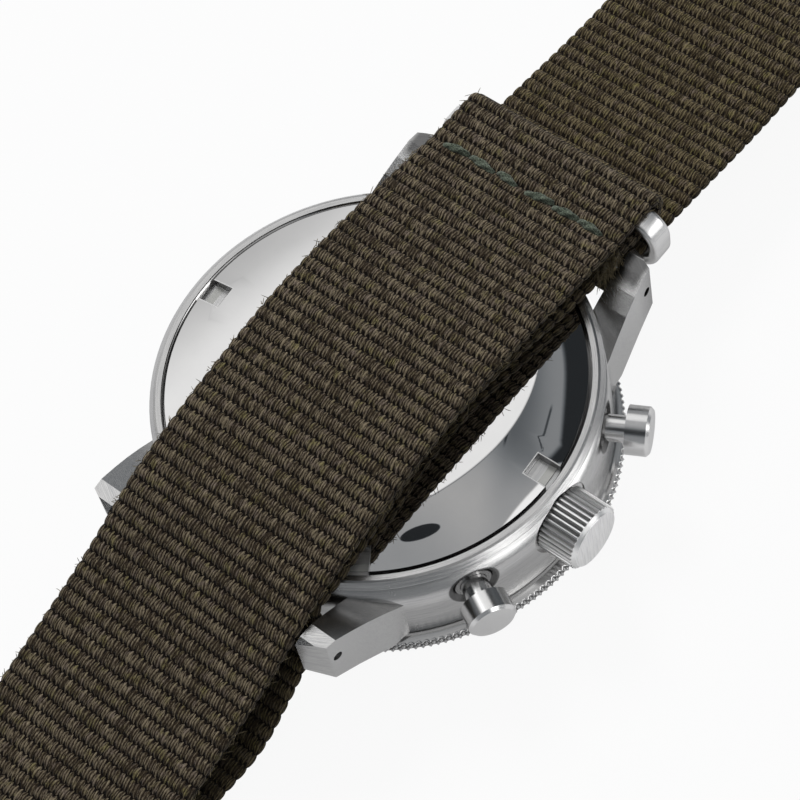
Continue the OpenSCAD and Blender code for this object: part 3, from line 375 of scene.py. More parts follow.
# %% Strap builder
def section(across):
    """Once round the band: top from left to right, a half circle, bottom from right to left, a half
    circle. It gives x, the height h over the middle, the outward direction (nx, nh), and the
    number of points on a half circle."""
    r, n = cloth, 9
    a = np.radians(np.linspace(90, -90, n + 2))[1:-1]
    x = np.concatenate([across, STRAP_W / 2 - r + r * np.cos(a), across[::-1],
                        -(STRAP_W / 2 - r) - r * np.cos(a)])
    h = np.concatenate([np.full(len(across), r), r * np.sin(a), np.full(len(across), -r),
                        -r * np.sin(a)])
    zero, one = np.zeros(len(across)), np.ones(len(across))
    nx = np.concatenate([zero, np.cos(a), zero, -np.cos(a)])
    nh = np.concatenate([one, np.sin(a), -one, -np.sin(a)])
    return x, h, nx, nh, n


def band(name, route, s_at, rib, rows_per_rib, across, half_width, depth, openings=(), dent=None,
         sideways=None):
    """A ribbed band along a route. The point at distance s and place c of the section is
    route(s) + x(c) across + h(c) along the normal. Each face then steps in by
    depth * |2 * rib phase|^2.6, the sides by 0.4 of that. dent(x, y) is taken off the upper face,
    and sideways(y) moves the whole band across.
    openings are (s, half length, columns, radius): faces left out, with a wall round them whose
    points are moved out to the radius, if there is one."""
    x0, h0, nx, nh, n = section(across)
    length = s_at[-1]
    rows = int(length / rib * rows_per_rib) + 1
    s = np.linspace(0, length, rows)[:, None] + np.zeros(len(x0))
    x = x0 * (half_width(np.interp(s, s_at, route[:, 0])) / (STRAP_W / 2))
    top = len(across)
    under = top + n + (top - 1 - np.arange(top))
    quads, caps = tube_faces(rows, len(x0))
    keep = np.ones(quads.shape[:2], bool)
    walls = []
    # Leave out an opening's faces above and below, and put a wall between their edges
    for middle, half, (c0, c1), radius in openings:
        r0, r1 = np.searchsorted(s[:, 0], [middle - half, middle + half])
        keep[r0:r1, c0:c1] = False
        keep[r0:r1, under[c1]:under[c0]] = False
        down, right = np.arange(r0, r1 + 1), np.arange(c0, c1 + 1)
        loop_r = np.concatenate([0 * right[:-1] + r0, down[:-1], 0 * right[:-1] + r1, down[:0:-1]])
        loop_c = np.concatenate([right[:-1], 0 * down[:-1] + c1, right[:0:-1], 0 * down[:-1] + c0])
        if radius:
            ds, dx = s[loop_r, loop_c] - middle, x[loop_r, loop_c]
            grow = radius / np.hypot(ds, dx)
            for c in (loop_c, under[loop_c]):
                s[loop_r, c], x[loop_r, c] = middle + ds * grow, dx * grow
        a = loop_r * len(x0) + loop_c
        b = loop_r * len(x0) + under[loop_c]
        walls.append(np.stack([a, np.roll(a, -1), np.roll(b, -1), b], axis=1))
    # The route and its direction at every row, and the shape across it
    slope = np.gradient(route, s_at, axis=0)
    slope /= np.hypot(*slope.T)[:, None]
    y, z = np.interp(s, s_at, route[:, 0]), np.interp(s, s_at, route[:, 1])
    ty, tz = np.interp(s, s_at, slope[:, 0]), np.interp(s, s_at, slope[:, 1])
    phase = s / rib - np.floor(s / rib) - 0.5
    inward = depth * abs(2 * phase) ** 2.6
    if dent is not None:
        inward = inward + dent(x, y) * (h0 > 0)
    h = h0 - nh * inward
    x = x - nx * inward * 0.4
    if sideways is not None:
        x = x + sideways(y)
    points = np.stack([x, y - tz * h, z + ty * h], axis=-1)
    # The UV map: u goes round the section and v along the route, both in metres
    round_it = np.concatenate([[0], np.cumsum(np.hypot(*np.diff(
        np.stack([np.append(x0, x0[0]), np.append(h0, h0[0])]), axis=1)))]) - STRAP_W / 2 + cloth
    u = np.broadcast_to(round_it, (rows, len(x0) + 1)) * MM
    v = np.broadcast_to(np.append(s, s[:, :1], axis=1), u.shape) * MM
    pair = np.stack([u, v], axis=-1)
    corner = np.stack([pair[:-1, :-1], pair[:-1, 1:], pair[1:, 1:], pair[1:, :-1]], axis=2)[keep]
    flat = pair[:, :-1].reshape(-1, 2)
    others = [*walls, *caps]
    uv = np.concatenate([corner.reshape(-1, 2)] + [flat[f.reshape(-1)] for f in others])
    made = add_mesh(name, points.reshape(-1, 3), [quads[keep], *others], "case", uv)
    print(name, rows, "rows,", triangles(made), "triangles")
    return made


# %% [markdown]
# ## The nylon's colour and grain
# Seen close, each rib is a row of plump threads, half a thread further on in the next rib, with
# painted shade in the nearly black gaps, and painted highlights as paler flecks where single fibres
# catch the light. The material measures the place on the cloth from the UV map, which is in metres
# along and across. A thread's height falls off towards its sides and ends; the same height drives
# the colour, and so paints shade into the gaps.

# %% Webbing material
def webbing(name, rib, grain, dark, mid, pale):
    """Leaf-shaped threads, grain wide on ribs rib long. With a and b from -0.5 to 0.5 across and
    along a thread, its half width is w = 0.62 - t |2b|^2 + 0.6 noise, where t is 0.42 to 0.58 from
    thread to thread, and its height is 1 - (a / w)^2. Strokes, two to a thread, are its fibres with
    their painted highlights: sin(4 pi a + noise). The tone is a sum of fibre noise, strokes, thread,
    place and flecks, whose pale ones are painted highlights. Where no thread covers, the dark colour
    is painted shade in the gaps."""
    made, p = material(name)
    uv = p.node("ShaderNodeUVMap", {"uv_map": "cloth"})
    u, v, _ = p.split(uv)
    u, v = u * 1000.0, v * 1000.0
    wander = p.noise(p.join(u * 0.7, v * 0.55, 0.0), 2.0)
    row = (v / rib).maths("FLOOR")
    b = v / rib - row - 0.5
    lean = (row * 0.5).maths("FRACT") * 0.7
    a0 = u / grain + row * 0.5 + b * lean + (wander - 0.5) * 0.8
    column = a0.maths("FLOOR")
    a = a0 - column - 0.5
    each = p.node("ShaderNodeTexWhiteNoise", {"noise_dimensions": "2D"},
                  {"Vector": p.join(column, row, 0.0)}, out=0)
    fibre = p.noise(p.join(u * 6.0 + b * 2.0, v * 1.7, each * 9.0), 3.0, 0.8)
    half = 0.62 - (abs(b) * 2.0) ** 2.0 * (0.42 + each * 0.16) + (fibre - 0.5) * 0.6
    thread = 1 - (a / half) ** 2.0
    cover = thread.step(-0.2, 0.6)
    broad = p.noise(p.join(u * 0.12, v * 0.1, 3.0), 2.0)
    tint = p.noise(p.join(u * 0.9, v * 0.8, 7.0), 2.0).step(0.5, 0.72)
    plum = p.noise(p.join(u * 1.3, v * 1.0, 11.0), 2.0).step(0.5, 0.68)
    fleck = p.noise(p.join(u * 8.0 + b * 2.0, v * 3.0, each * 5.0), 2.0, 0.7)
    # strokes stand for the fibres and paint their highlights, two to a thread
    stroke = (a * 12.6 + fibre * 4.0 + each * 6.3).maths("SINE")
    light = (fibre - 0.5) * 3.0 + stroke * 0.36 + (each - 0.5) * 0.45 + (broad - 0.5) * 0.12 + 0.25
    # painted highlights: paler flecks where single fibres catch the light; the darker specks are random
    # tone
    light = light + fleck.step(0.58, 0.75) * 0.45 - (1 - fleck.step(0.28, 0.42)) * 0.4
    olive = p.mix(plum * 0.6, p.mix(tint * 0.55, pale, rgb(108, 104, 48)), rgb(104, 92, 88))
    thread_tone = p.mix(light.maths("MINIMUM", 1.0).maths("MAXIMUM", 0.0), mid, olive)
    # painted shade: the near-black dark colour fills the gaps where no thread covers
    colour = p.mix(cover, dark, thread_tone)
    height = cover * 0.5 + fibre * 0.35 + stroke * 0.15
    p.surface(Base_Color=colour, Roughness=0.92 - cover * 0.14, Specular_IOR_Level=0.2,
              Sheen_Weight=0.04, Sheen_Roughness=0.45, Normal=p.bump(height, 0.14))
    return made


RIB_SHORT, RIB_LONG = 1.18, 1.3
# dark is the painted shade in the gaps between threads
webbing_short = webbing("fine_rib_nylon", RIB_SHORT, grain=0.52, dark=rgb(12, 7, 4),
                        mid=rgb(36, 28, 18), pale=rgb(122, 111, 92))
webbing_long = webbing("coarse_rib_nylon", RIB_LONG, grain=0.51, dark=rgb(17, 11, 6),
                       mid=rgb(39, 31, 18), pale=rgb(112, 101, 76))
print("ribs of", RIB_SHORT, "and", RIB_LONG, "mm")

# %% [markdown]
# ## Both straps
# The short strap is a plain band with a shallow dent where it is sewn. The long one narrows to a
# point at its tail, has eight round holes there and a slot for the tongue's hub at the buckle, and
# lies a little to one side over the caseback. Cutting the holes with a boolean would spoil the clean
# grid, so three columns on each side of the middle are set to fit them.

# %% Straps
SEAM_Y, SEAM_DENT, SEAM_REACH = 20.6, 0.2, 0.55
TIP_HALF = 4.34
HOLE_R, HOLE_BLOCK, HOLE_STEP, HOLE_COUNT = 1.0, 0.85, 6.5, 8
SIDE_SHIFT, SHIFT_REACH = -1.2, 17.5
across_short = np.concatenate([[-9.47, -9.38], np.linspace(-9.1, 9.1, 36), [9.38, 9.47]])
side_columns = np.linspace(1.9, STRAP_W / 2 - cloth, 12)
middle_columns = [-1.2, -HOLE_BLOCK, -0.42, 0, 0.42, HOLE_BLOCK, 1.2]
across_long = np.concatenate([-side_columns[::-1], middle_columns, side_columns])
hole_column = int(np.argmin(abs(across_long + HOLE_BLOCK)))
hole_y = tail_y - 26 - HOLE_STEP * np.arange(HOLE_COUNT)
tail_run = slice(312, None)                 # past the last bar, where y only rises
hole_s = np.interp(hole_y, long_route[tail_run, 0], long_s[tail_run])
# The slot goes round the buckle's bar and ends within 3.6 mm of it on both layers
slot_s = long_s[(long_route[:, 0] < buckle_y + 3.6) & (long_s < 20)]
openings = [(float(s), HOLE_BLOCK, (hole_column, hole_column + 4), HOLE_R) for s in hole_s]
openings.append((float(slot_s.mean()), float(np.ptp(slot_s) / 2),
                 (hole_column - 1, hole_column + 5), 0))


def seam_dent(x, y):
    """A bell curve along the strap: SEAM_DENT * exp(-((y - SEAM_Y) / SEAM_REACH)^2)."""
    return SEAM_DENT * np.exp(-((y - SEAM_Y) / SEAM_REACH) ** 2)


def tail_half_width(y):
    """Half the strap's width, narrowing at 45 degrees to TIP_HALF at the end of the tail."""
    return np.minimum(STRAP_W / 2, TIP_HALF + tail_y - y)


def side_shift(y):
    """SIDE_SHIFT * cos^2 over the caseback, 0 from SHIFT_REACH on."""
    return SIDE_SHIFT * np.cos(np.clip(y / SHIFT_REACH, -1, 1) * np.pi / 2) ** 2


short_strap = band("short_strap_webbing", short_route, short_s, RIB_SHORT, rows_per_rib=10,
                   across=across_short, half_width=lambda y: STRAP_W / 2 + 0 * y, depth=0.26,
                   dent=seam_dent)
long_strap = band("long_strap_webbing", long_route, long_s, RIB_LONG, rows_per_rib=7,
                  across=across_long, half_width=tail_half_width, depth=0.3, openings=openings,
                  sideways=side_shift)
for piece, node, paint, length in ((short_strap, "short_strap", webbing_short, short_s[-1]),
                                   (long_strap, "long_strap", webbing_long, long_s[-1])):
    piece.data.materials.append(paint)
    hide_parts(node)
    print(piece.name, "is", round(float(length), 1), "mm long and stands for", node)

# %% [markdown]
# ## The sewn line
# Six long stitches of dark green thread close the fold at the ring. Curve objects with a bevel could
# stand for them, but a plied thread isn't round: a circle with three lobes that turn on the way is
# carried along a low arch, which rises out of one hole and dives into the next. The same rope, much
# thinner and without lobes, makes the loose fibres.

# %% Ropes
def ropes(name, lines, radius, sides, plies, turn, body, taper=0.0):
    """lines is (count, points, 3). Each becomes a closed tube whose radius is
    radius * (1 + 0.2 cos(plies * angle - turn * way)) * (1 - taper |2 way - 1|^3), with way from
    0 at one end to 1 at the other."""
    count, points, _ = lines.shape
    along = np.gradient(lines, axis=1)
    along /= np.linalg.norm(along, axis=2, keepdims=True)
    side = np.cross(along, (0.31, 0.2, 0.93))
    side /= np.linalg.norm(side, axis=2, keepdims=True)
    up = np.cross(side, along)
    angle = np.linspace(0, 2 * np.pi, sides, endpoint=False)
    way = np.linspace(0, 1, points)[:, None]
    r = radius * (1 + 0.2 * np.cos(plies * angle - turn * way) * (plies > 0))
    r = r * (1 - taper * np.abs(2 * way - 1) ** 3)
    ring = (lines[:, :, None] + side[:, :, None] * (r * np.cos(angle))[None, :, :, None]
            + up[:, :, None] * (r * np.sin(angle))[None, :, :, None])
    quads, caps = tube_faces(points, sides)
    shift = (np.arange(count) * points * sides)[:, None, None]
    every = [(f.reshape(1, -1, f.shape[-1]) + shift).reshape(-1, f.shape[-1]) for f in (quads, *caps)]
    made = add_mesh(name, ring.reshape(-1, 3), every, body)
    print(name, count, "ropes,", triangles(made), "triangles")
    return made


def on_short(y):
    """Height of the short strap's upper face at y, read off its route before the fold."""
    run = short_s < 0.999 * short_s[short_route[:, 0].argmax()]
    return np.interp(y, short_route[run, 0], short_route[run, 1]) + cloth


way = np.linspace(0, 1, 18)
# Where each stitch starts and ends across the strap, and how much it slants along it
left, right, slant = np.array([
    (-8.5, -5.95, 0.4), (-5.75, -3.0, -0.3), (-2.75, -0.6, -0.4), (0.3, 3.1, 0.6), (3.2, 5.75, 0.3),
    (5.85, 8.3, -0.15)]).T[:, :, None]
stitch = np.stack(np.broadcast_arrays(
    left + (right - left) * way, SEAM_Y + slant * (way - 0.5),
    on_short(SEAM_Y) - 0.5 + 0.42 * np.sin(np.pi * way) ** 0.4), axis=-1)
stitches = ropes("fold_stitches", stitch, radius=0.35, sides=18, plies=3, turn=14, body="case",
                 taper=0.5)

# %% [markdown]
# ## Stray fibres
# Nylon frays a little where it is cut or rubbed. Each fibre starts at a foot on the cloth and leaves
# it in a bow. A hair system would do the same, but its strands aren't part of a mesh. Here one array
# of random feet, directions and lengths gives three groups: along both edges, at the cut end under
# the fold, and a thicker tuft at the end's corner beside the ring.

# %% Fibres
rng = np.random.default_rng(7)


def fibres(count, foot, way_out, length, bend):
    """Short curved lines: foot + way_out * length * t + bow * t^2, with a random bow."""
    t = np.linspace(0, 1, 6)[None, :, None]
    bow = rng.normal(0, bend, (count, 1, 3))
    return foot[:, None] + way_out[:, None] * t * length[:, None, None] + bow * t ** 2


# Along both edges
count = 420
y = rng.uniform(-50, 27, count)
sign = rng.choice([-1, 1], count)
foot = np.stack([sign * (STRAP_W / 2 - 0.12), y,
                 on_short(y) - cloth + rng.uniform(-0.35, 0.35, count)], axis=1)
out = np.stack([sign * rng.uniform(0.2, 1, count), rng.normal(0, 0.8, count),
                rng.normal(0.1, 0.35, count)], axis=1)
edge_lines = fibres(count, foot, out, rng.uniform(0.15, 0.6, count), 0.12)

# At the cut end, under the fold
count = 150
foot = np.stack([rng.uniform(-9.8, 9.8, count), np.full(count, 20.5),
                 fold_in_z + 0.72 + rng.uniform(-0.4, 0.4, count)], axis=1)
out = np.stack([rng.normal(0, 0.4, count), rng.uniform(-1, -0.4, count),
                rng.normal(0.05, 0.4, count)], axis=1)
end_lines = fibres(count, foot, out, rng.uniform(0.3, 1.1, count), 0.15)

# The tuft at the end's corner
count = 260
foot = np.stack([rng.uniform(9.0, 10.0, count), rng.uniform(18.6, 21.0, count),
                 fold_in_z + 0.9 + rng.uniform(-0.6, 0.6, count)], axis=1)
out = np.stack([rng.uniform(0.3, 1, count), rng.normal(-0.8, 0.5, count),
                rng.normal(-0.1, 0.5, count)], axis=1)
tuft_lines = fibres(count, foot, out, rng.uniform(0.4, 1.3, count), 0.25)
loose = ropes("loose_fibres", np.concatenate([edge_lines, end_lines, tuft_lines]), radius=0.03,
              sides=4, plies=0, turn=0, body="case", taper=0.6)

# %% [markdown]
# ## Thread colours
# Sewing thread is smoother than webbing and takes a faint sheen. Its lobes are real shape already, so
# the material only adds fine fibres, as noise in the colour and a slight bump.

# %% Thread materials
def thread_paint(name, base, pale, scale):
    """Noise of scale waves to a millimetre, stretched between two colours, and its bump."""
    made, p = material(name)
    x, y, z = p.place()
    fine = p.noise(p.join(x * scale, y * scale, z * scale), 3.0)
    p.surface(Base_Color=p.mix(fine.step(0.3, 0.75), base, pale), Roughness=0.8,
              Specular_IOR_Level=0.3, Sheen_Weight=0.15, Normal=p.bump(fine, 0.04))
    return made


stitches.data.materials.append(
    thread_paint("green_thread", rgb(20, 27, 21), rgb(106, 115, 100), 9.0))
loose.data.materials.append(thread_paint("fibre", rgb(62, 54, 36), rgb(120, 108, 78), 4.0))
print("thread finishes on", stitches.name, "and", loose.name)

# %% [markdown]
# ## Rounded strap rings
# The ring that holds both straps and the two keepers near the buckle are bent from flat bar whose
# edges are softened. A bevelled box with a hole would do, but a bent bar keeps its thickness round the
# corner. So a rounded rectangle, the section, is carried along a larger one, the loop.

# %% Rings
def rounded_rectangle(width, height, radius, per_corner):
    """Points and outward directions round a rectangle with round corners, centred."""
    a = np.radians(np.linspace(0, 90, per_corner + 1))
    turn = np.array([0, 90, 180, 270])
    angle = (np.radians(turn)[:, None] + a[None]).ravel()
    sx, sy = np.repeat([1, -1, -1, 1], per_corner + 1), np.repeat([1, 1, -1, -1], per_corner + 1)
    out = np.stack([np.cos(angle), np.sin(angle)], axis=1)
    middle = np.stack([sx * (width / 2 - radius), sy * (height / 2 - radius)], axis=1)
    return middle + radius * out, out


def strap_loop(name, node, gap, y, z, body):
    """A flat-bar ring round the strap: loop point + outward * a + Y * b for each (a, b) of the
    section. The ends bend round with an inner radius of 0.38 of the gap."""
    inner_x = STRAP_W + 1.2
    path, out = rounded_rectangle(inner_x + ring_t, gap + ring_t, 0.38 * gap + ring_t / 2, 12)
    bar, _ = rounded_rectangle(ring_t - 0.02, ring_w - 0.02, 0.47, 8)
    x = path[:, None, 0] + out[:, None, 0] * bar[None, :, 0]
    up = path[:, None, 1] + out[:, None, 1] * bar[None, :, 0]
    along = np.broadcast_to(bar[None, :, 1], x.shape)
    points = np.stack([x, along + y, up + z], axis=-1)
    faces = ring_faces(*x.shape)[:, ::-1]
    made = add_mesh(name, points.reshape(-1, 3), [faces], body)
    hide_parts(node)
    print(name, triangles(made), "triangles")
    return made


KEEPER_GAP = 2.8
keeper_z = ring_t + KEEPER_GAP / 2
loops = [strap_loop("ring_bar", "strap_ring", ring_gap, ring_y, ring_z, "case"),
         strap_loop("fixed_keeper_bar", "fixed_keeper", KEEPER_GAP, buckle_y + 12, keeper_z, "case"),
         strap_loop("sliding_keeper_bar", "sliding_keeper", KEEPER_GAP, buckle_y + 20, keeper_z,
                    "sliding_keeper")]

# %% [markdown]
# ## The knurled bezel
# The bezel's edge has a narrow band of diamond teeth, cut by two sets of slanting grooves. Hundreds of
# small boolean cuts would be slow and leave slivers. Instead the ring is a profile turned round the
# axis; in the band the radius drops by two waves that slant opposite ways, and a small pyramid is left
# where neither has a groove.

# %% Bezel
def turned(name, node, profile, columns, dip, body):
    """A closed profile of (r, z) turned round Z, with dip(angle, r, z) taken off the radius."""
    a = np.linspace(0, 2 * np.pi, columns, endpoint=False)[:, None]
    r = profile[None, :, 0] - dip(a, profile[None, :, 0], profile[None, :, 1])
    z = np.broadcast_to(profile[None, :, 1], r.shape)
    points = np.stack([r * np.cos(a), r * np.sin(a), z], axis=-1)
    made = add_mesh(name, points.reshape(-1, 3), [ring_faces(*r.shape)], body)
    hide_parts(node)
    print(name, triangles(made), "triangles")
    return made


BEZEL_TEETH, TOOTH_DEPTH, BEZEL_R = 200, 0.36, 20.28
BAND_LOW, BAND_HIGH, BAND_ROWS = 2.15, 2.95, 11
band_z = np.linspace(BAND_LOW, BAND_HIGH, BAND_ROWS)
bezel_profile = np.concatenate([
    [[17.66, 0.42], [17.78, 0.3], [18.28, 0.3], [18.6, 0.62], [19.4, 1.42], [19.98, 2.0],
     [20.1, 2.1]],
    np.stack([np.full(BAND_ROWS, BEZEL_R), band_z], axis=1),
    [[20.12, 2.98], [19.98, 3.1], [19.0, 3.1], [17.8, 3.1], [17.64, 3.0], [17.64, 2.4],
     [17.64, 1.2]]])


def knurl(angle, r, z):
    """Two slanting grooves: each wave is a zigzag from 1 in its groove to 0 between grooves, and
    the depth taken off is TOOTH_DEPTH * max(first, second)^1.3, which leaves small pyramids."""
    turn = BEZEL_TEETH / 2 * angle / np.pi
    slant = (z - (BAND_LOW + BAND_HIGH) / 2) / (BAND_HIGH - BAND_LOW)
    one, other = (abs(2 * (w - np.floor(w)) - 1) for w in (turn + slant, turn - slant))
    in_band = (z > BAND_LOW - 0.01) & (z < BAND_HIGH + 0.01) & (r > BEZEL_R - 0.08)
    return TOOTH_DEPTH * np.maximum(one, other) ** 1.3 * in_band


bezel = turned("knurled_bezel", "bezel", bezel_profile, BEZEL_TEETH * 12, knurl, "bezel")

# %% [markdown]
# ## Steel
# Brushed steel is cut by thousands of fine lines that run one way. Blender's anisotropic shading can
# imply them, but it shows no line up close. Noise that is stretched along the lines gives their
# height, and a little of their tone. Polished steel is nearly smooth: what shows is the room, a haze
# of wiping marks and a few hairlines. One function gives both, with a mask between them where a part
# has both finishes.

# %% Steel
CROWN_Z = 8.3
ACROSS, ALONG = 14.0, 0.3       # noise waves to a millimetre, across and along the brushed lines


def axis_radius(x, y):
    """Distance from the watch's own axis, in millimetres."""
    return (x * x + y * y) ** 0.5


def crown_radius(y, z):
    """Distance from the crown's axis, which lies along X at the height CROWN_Z."""
    return ((z - CROWN_Z) * (z - CROWN_Z) + y * y) ** 0.5


def steel(name, tone=0.62, brushed=1.0, lines="round", rough=(0.13, 0.34), polish=None, depth=0.006,
          shade=None, relief=None):
    """Steel whose lines run round Z, round the crown's axis, or along X, Y or Z. Its roughness goes
    from rough[0] to rough[1] with how brushed it is. polish(p, x, y, z) gives a field that is 1
    where the part is polished, shade(p, x, y, z) one that takes the tone down to near black at 0,
    and relief(p, x, y, z) a soft rounding's height in millimetres and where it is on."""
    made, p = material(name)
    x, y, z = p.place()
    if lines == "round":
        turn = p.maths("ARCTAN2", y, x) * 5.0
        where = p.join(axis_radius(x, y) * ACROSS, z * ACROSS, turn)
    elif lines == "round_x":
        turn = p.maths("ARCTAN2", y, z - CROWN_Z)
        where = p.join(x * ACROSS, crown_radius(y, z) * ACROSS, turn)
    else:
        k = [ALONG if lines == axis else ACROSS for axis in "xyz"]
        where = p.join(x * k[0], y * k[1], z * k[2])
    line = p.noise(where, 3.0, 0.65)
    haze = p.noise(p.join(x * 0.35, y * 0.35, z * 0.35), 3.0, 0.6)
    mark = p.noise(p.join(x * 3.1 + y * 6.0, y * 0.6 - x * 0.3, z * 2.0), 3.0, 0.7)
    amount = (1 - polish(p, x, y, z)) * brushed if polish else brushed
    low, high = rough
    wipe = min(1.0, low * 8)
    roughness = low + (high - low) * amount
    roughness = roughness + (haze - 0.5) * 0.05 * wipe + (mark - 0.5) * 0.04 * wipe
    dark = (tone * 0.8, tone * 0.8, tone * 0.81, 1)
    pale = (tone * 1.18, tone * 1.17, tone * 1.15, 1)
    body = p.mix((line - 0.5) * amount * 2.4 + (haze - 0.5) * 0.25 + 0.5, dark, pale)
    # painted shade: where shade is 0, the tone goes down to near black
    if shade:
        body = p.mix(shade(p, x, y, z), (0.03, 0.03, 0.03, 1), body)
    height = line * amount + mark * 0.05
    normal = p.bump(height, depth)
    if relief:
        rise, where = relief(p, x, y, z)
        normal = p.node("ShaderNodeMix", {"data_type": "VECTOR"},
                        {0: where, 4: normal, 5: p.bump(height + rise / depth, depth)}, out=1)
    p.surface(Base_Color=body, Metallic=1.0, Roughness=roughness, Normal=normal)
    return made


fine_steel = steel("turned_steel", 0.64, brushed=0.6, lines="y", rough=(0.15, 0.32), depth=0.002)
print("steel with", len(fine_steel.node_tree.nodes), "nodes")

# %% [markdown]
# ## The case
# The case body is brushed round its flank and over its lugs, with a polished chamfer where it meets
# the caseback. Painting masks by hand would tie them to one unwrapping, so each mask is worked out
# from the place on the case: a height, a distance from the axis, or both.

# %% Case steel
PUSHER_TURN = math.radians(27.5)
PUSHER_COS, PUSHER_SIN = math.cos(PUSHER_TURN), math.sin(PUSHER_TURN)


def case_polish(p, x, y, z):
    """1 on the bright chamfer round the caseback: above z 11.25 to 11.5, within radius 18.05."""
    return z.step(11.25, 11.5) * (1 - axis_radius(x, y).step(18.05, 18.12))


def flank_round(p, x, y, z):
    """The flank turns softly in towards the back: it falls by 0.125 (z - 7.2)^2 above z 7.2.
    The rounding is on at the flank's radius and on the chamfer."""
    r = axis_radius(x, y)
    up = (z - 7.2).maths("MAXIMUM", 0.0)
    flank = r.step(18.9, 19.0) * (1 - r.step(19.42, 19.46)) * (1 - z.step(11.38, 11.44))
    chamfer = (1 - r.step(18.1, 18.15)) * z.step(10.85, 10.95) * (1 - z.step(11.9, 11.94))
    return up * up * -0.125, flank + chamfer


def case_shade(p, x, y, z):
    """Satin lugs are a little paler than the flank: 0.86 inside the case's radius, 1 beyond. The
    funnels round the pushers, the gap round the caseback and the lugs' faces beside the fold, in its
    shadow, get painted shade: 1 - 0.8 or 1 - 0.78 of each mask. A funnel is where the
    distance from a pusher's axis is under about 2.2."""
    r = axis_radius(x, y)
    aside = abs(y) * PUSHER_COS - x * PUSHER_SIN
    # painted shade in the pushers' funnels, the gap round the caseback and the lugs' faces under the
    # fold
    funnel = (1 - (aside * aside + (z - CROWN_Z) * (z - CROWN_Z)).step(4.6, 5.4)) * r.step(18.2, 18.3)
    gap = (1 - r.step(17.98, 18.02)) * (1 - z.step(10.85, 10.9))
    fold = y.step(18.7, 19.9) * (1 - y.step(21.7, 21.85))
    fold = fold * (1 - abs(x).step(12.1, 12.9)) * z.step(5.0, 7.0)
    lug = 0.86 + 0.14 * r.step(19.3, 19.6)
    return (1 - 0.78 * fold) * lug * (1 - 0.8 * funnel) * (1 - 0.8 * gap)


case_steel = steel("case_brushed", 0.62, polish=case_polish, shade=case_shade, depth=0.008,
                   rough=(0.13, 0.26), relief=flank_round)
print("case steel with", len(case_steel.node_tree.nodes), "nodes")

# %% [markdown]
# ## The caseback
# The domed back is polished like a mirror and has six notches for the wrench that opens it. Their
# floors were cut rough and their edges are bevelled. The solid has the notches; the material tells
# their walls and floors apart, which is done with the distance to the nearest notch.

# %% Caseback steel
NOTCH_IN = 15.65                # from the axis to a notch's inner wall


def notch_place(p, x, y):
    """How far out from the axis a place is along the nearest of six wrench notches, and how far
    aside from that notch's middle line. The first notch is at 4 degrees."""
    turn = p.maths("ARCTAN2", y, x) * (3 / math.pi) - 4 / 60
    off = (turn - turn.maths("ROUND")) * (math.pi / 3)
    r = axis_radius(x, y)
    return r * off.maths("COSINE"), abs(r * off.maths("SINE"))


def back_polish(p, x, y, z):
    """1 where polished, 0.3 on the fine bevel round each notch, and 0 on its floor, which the tool
    cut rough. The bevel's mask covers the floor too."""
    outward, aside = notch_place(p, x, y)
    floor_on = outward.step(NOTCH_IN + 0.02, NOTCH_IN + 0.05) * (1 - aside.step(1.0, 1.03))
    bevel = outward.step(NOTCH_IN - 0.14, NOTCH_IN - 0.1) * (1 - aside.step(1.15, 1.19))
    return 1 - 0.7 * bevel - 0.3 * floor_on


def back_shade(p, x, y, z):
    """A notch's walls and the caseback's edge stand in shadow: 0.3 of the tone on the walls, 0.25 on
    the edge below z 11.93."""
    outward, aside = notch_place(p, x, y)
    near = outward.step(NOTCH_IN - 0.03, NOTCH_IN - 0.01) * (1 - aside.step(1.055, 1.07))
    middle = outward.step(NOTCH_IN + 0.01, NOTCH_IN + 0.03) * (1 - aside.step(1.03, 1.045))
    side = axis_radius(x, y).step(17.72, 17.745) * (1 - z.step(11.93, 11.98))
    return (1 - 0.7 * (near - middle)) * (1 - 0.75 * side)


back_steel = steel("back_polished", 0.76, rough=(0.012, 0.42), depth=0.0003, polish=back_polish,
                   shade=back_shade)
print("caseback steel with", len(back_steel.node_tree.nodes), "nodes")

# %% [markdown]
# ## Crown, bezel and small steel
# The crown's ribs catch the light on rounded tops, and painted shade darkens the grooves between
# them. The solid's ribs are flat bars, so the rounding is a bump, worked out from the angle round the
# crown's axis, and needs no extra mesh. The bezel's grooves get painted shade in the same way, by
# their distance from the axis.

# %% Crown and bezel steel
CROWN_RIBS = 36


def crown_shade(p, x, y, z):
    """The floors of the crown's grooves get painted shade: 0.4 there, 1 on the ribs and on the flat
    end.
    """
    return 0.4 + 0.6 * crown_radius(y, z).step(2.8, 2.84).maths("MAXIMUM", x.step(22.2, 22.26))


def rib_round(p, x, y, z):
    """Each of the crown's ribs is rounded: it falls by 0.5 t^2 at t of a pitch from its middle."""
    turn = p.maths("ARCTAN2", y, CROWN_Z - z) * (CROWN_RIBS / 2 / math.pi) - 0.45
    t = turn - turn.maths("ROUND")
    return t * t * -0.5, 1 - x.step(22.2, 22.24)


def knurl_shade(p, x, y, z):
    """The bezel's grooves get painted shade: 0.12 at their floor, 1 on the pyramids and beside the
    band.
    """
    band = z.step(BAND_LOW - 0.05, BAND_LOW) * (1 - z.step(BAND_HIGH, BAND_HIGH + 0.05))
    return 1 - 0.88 * band * (1 - axis_radius(x, y).step(20.0, 20.22))


def crown_polish(p, x, y, z):
    """1 on the ribs, 0 on the flat end, which is brushed."""
    return 1 - x.step(22.5, 22.56)


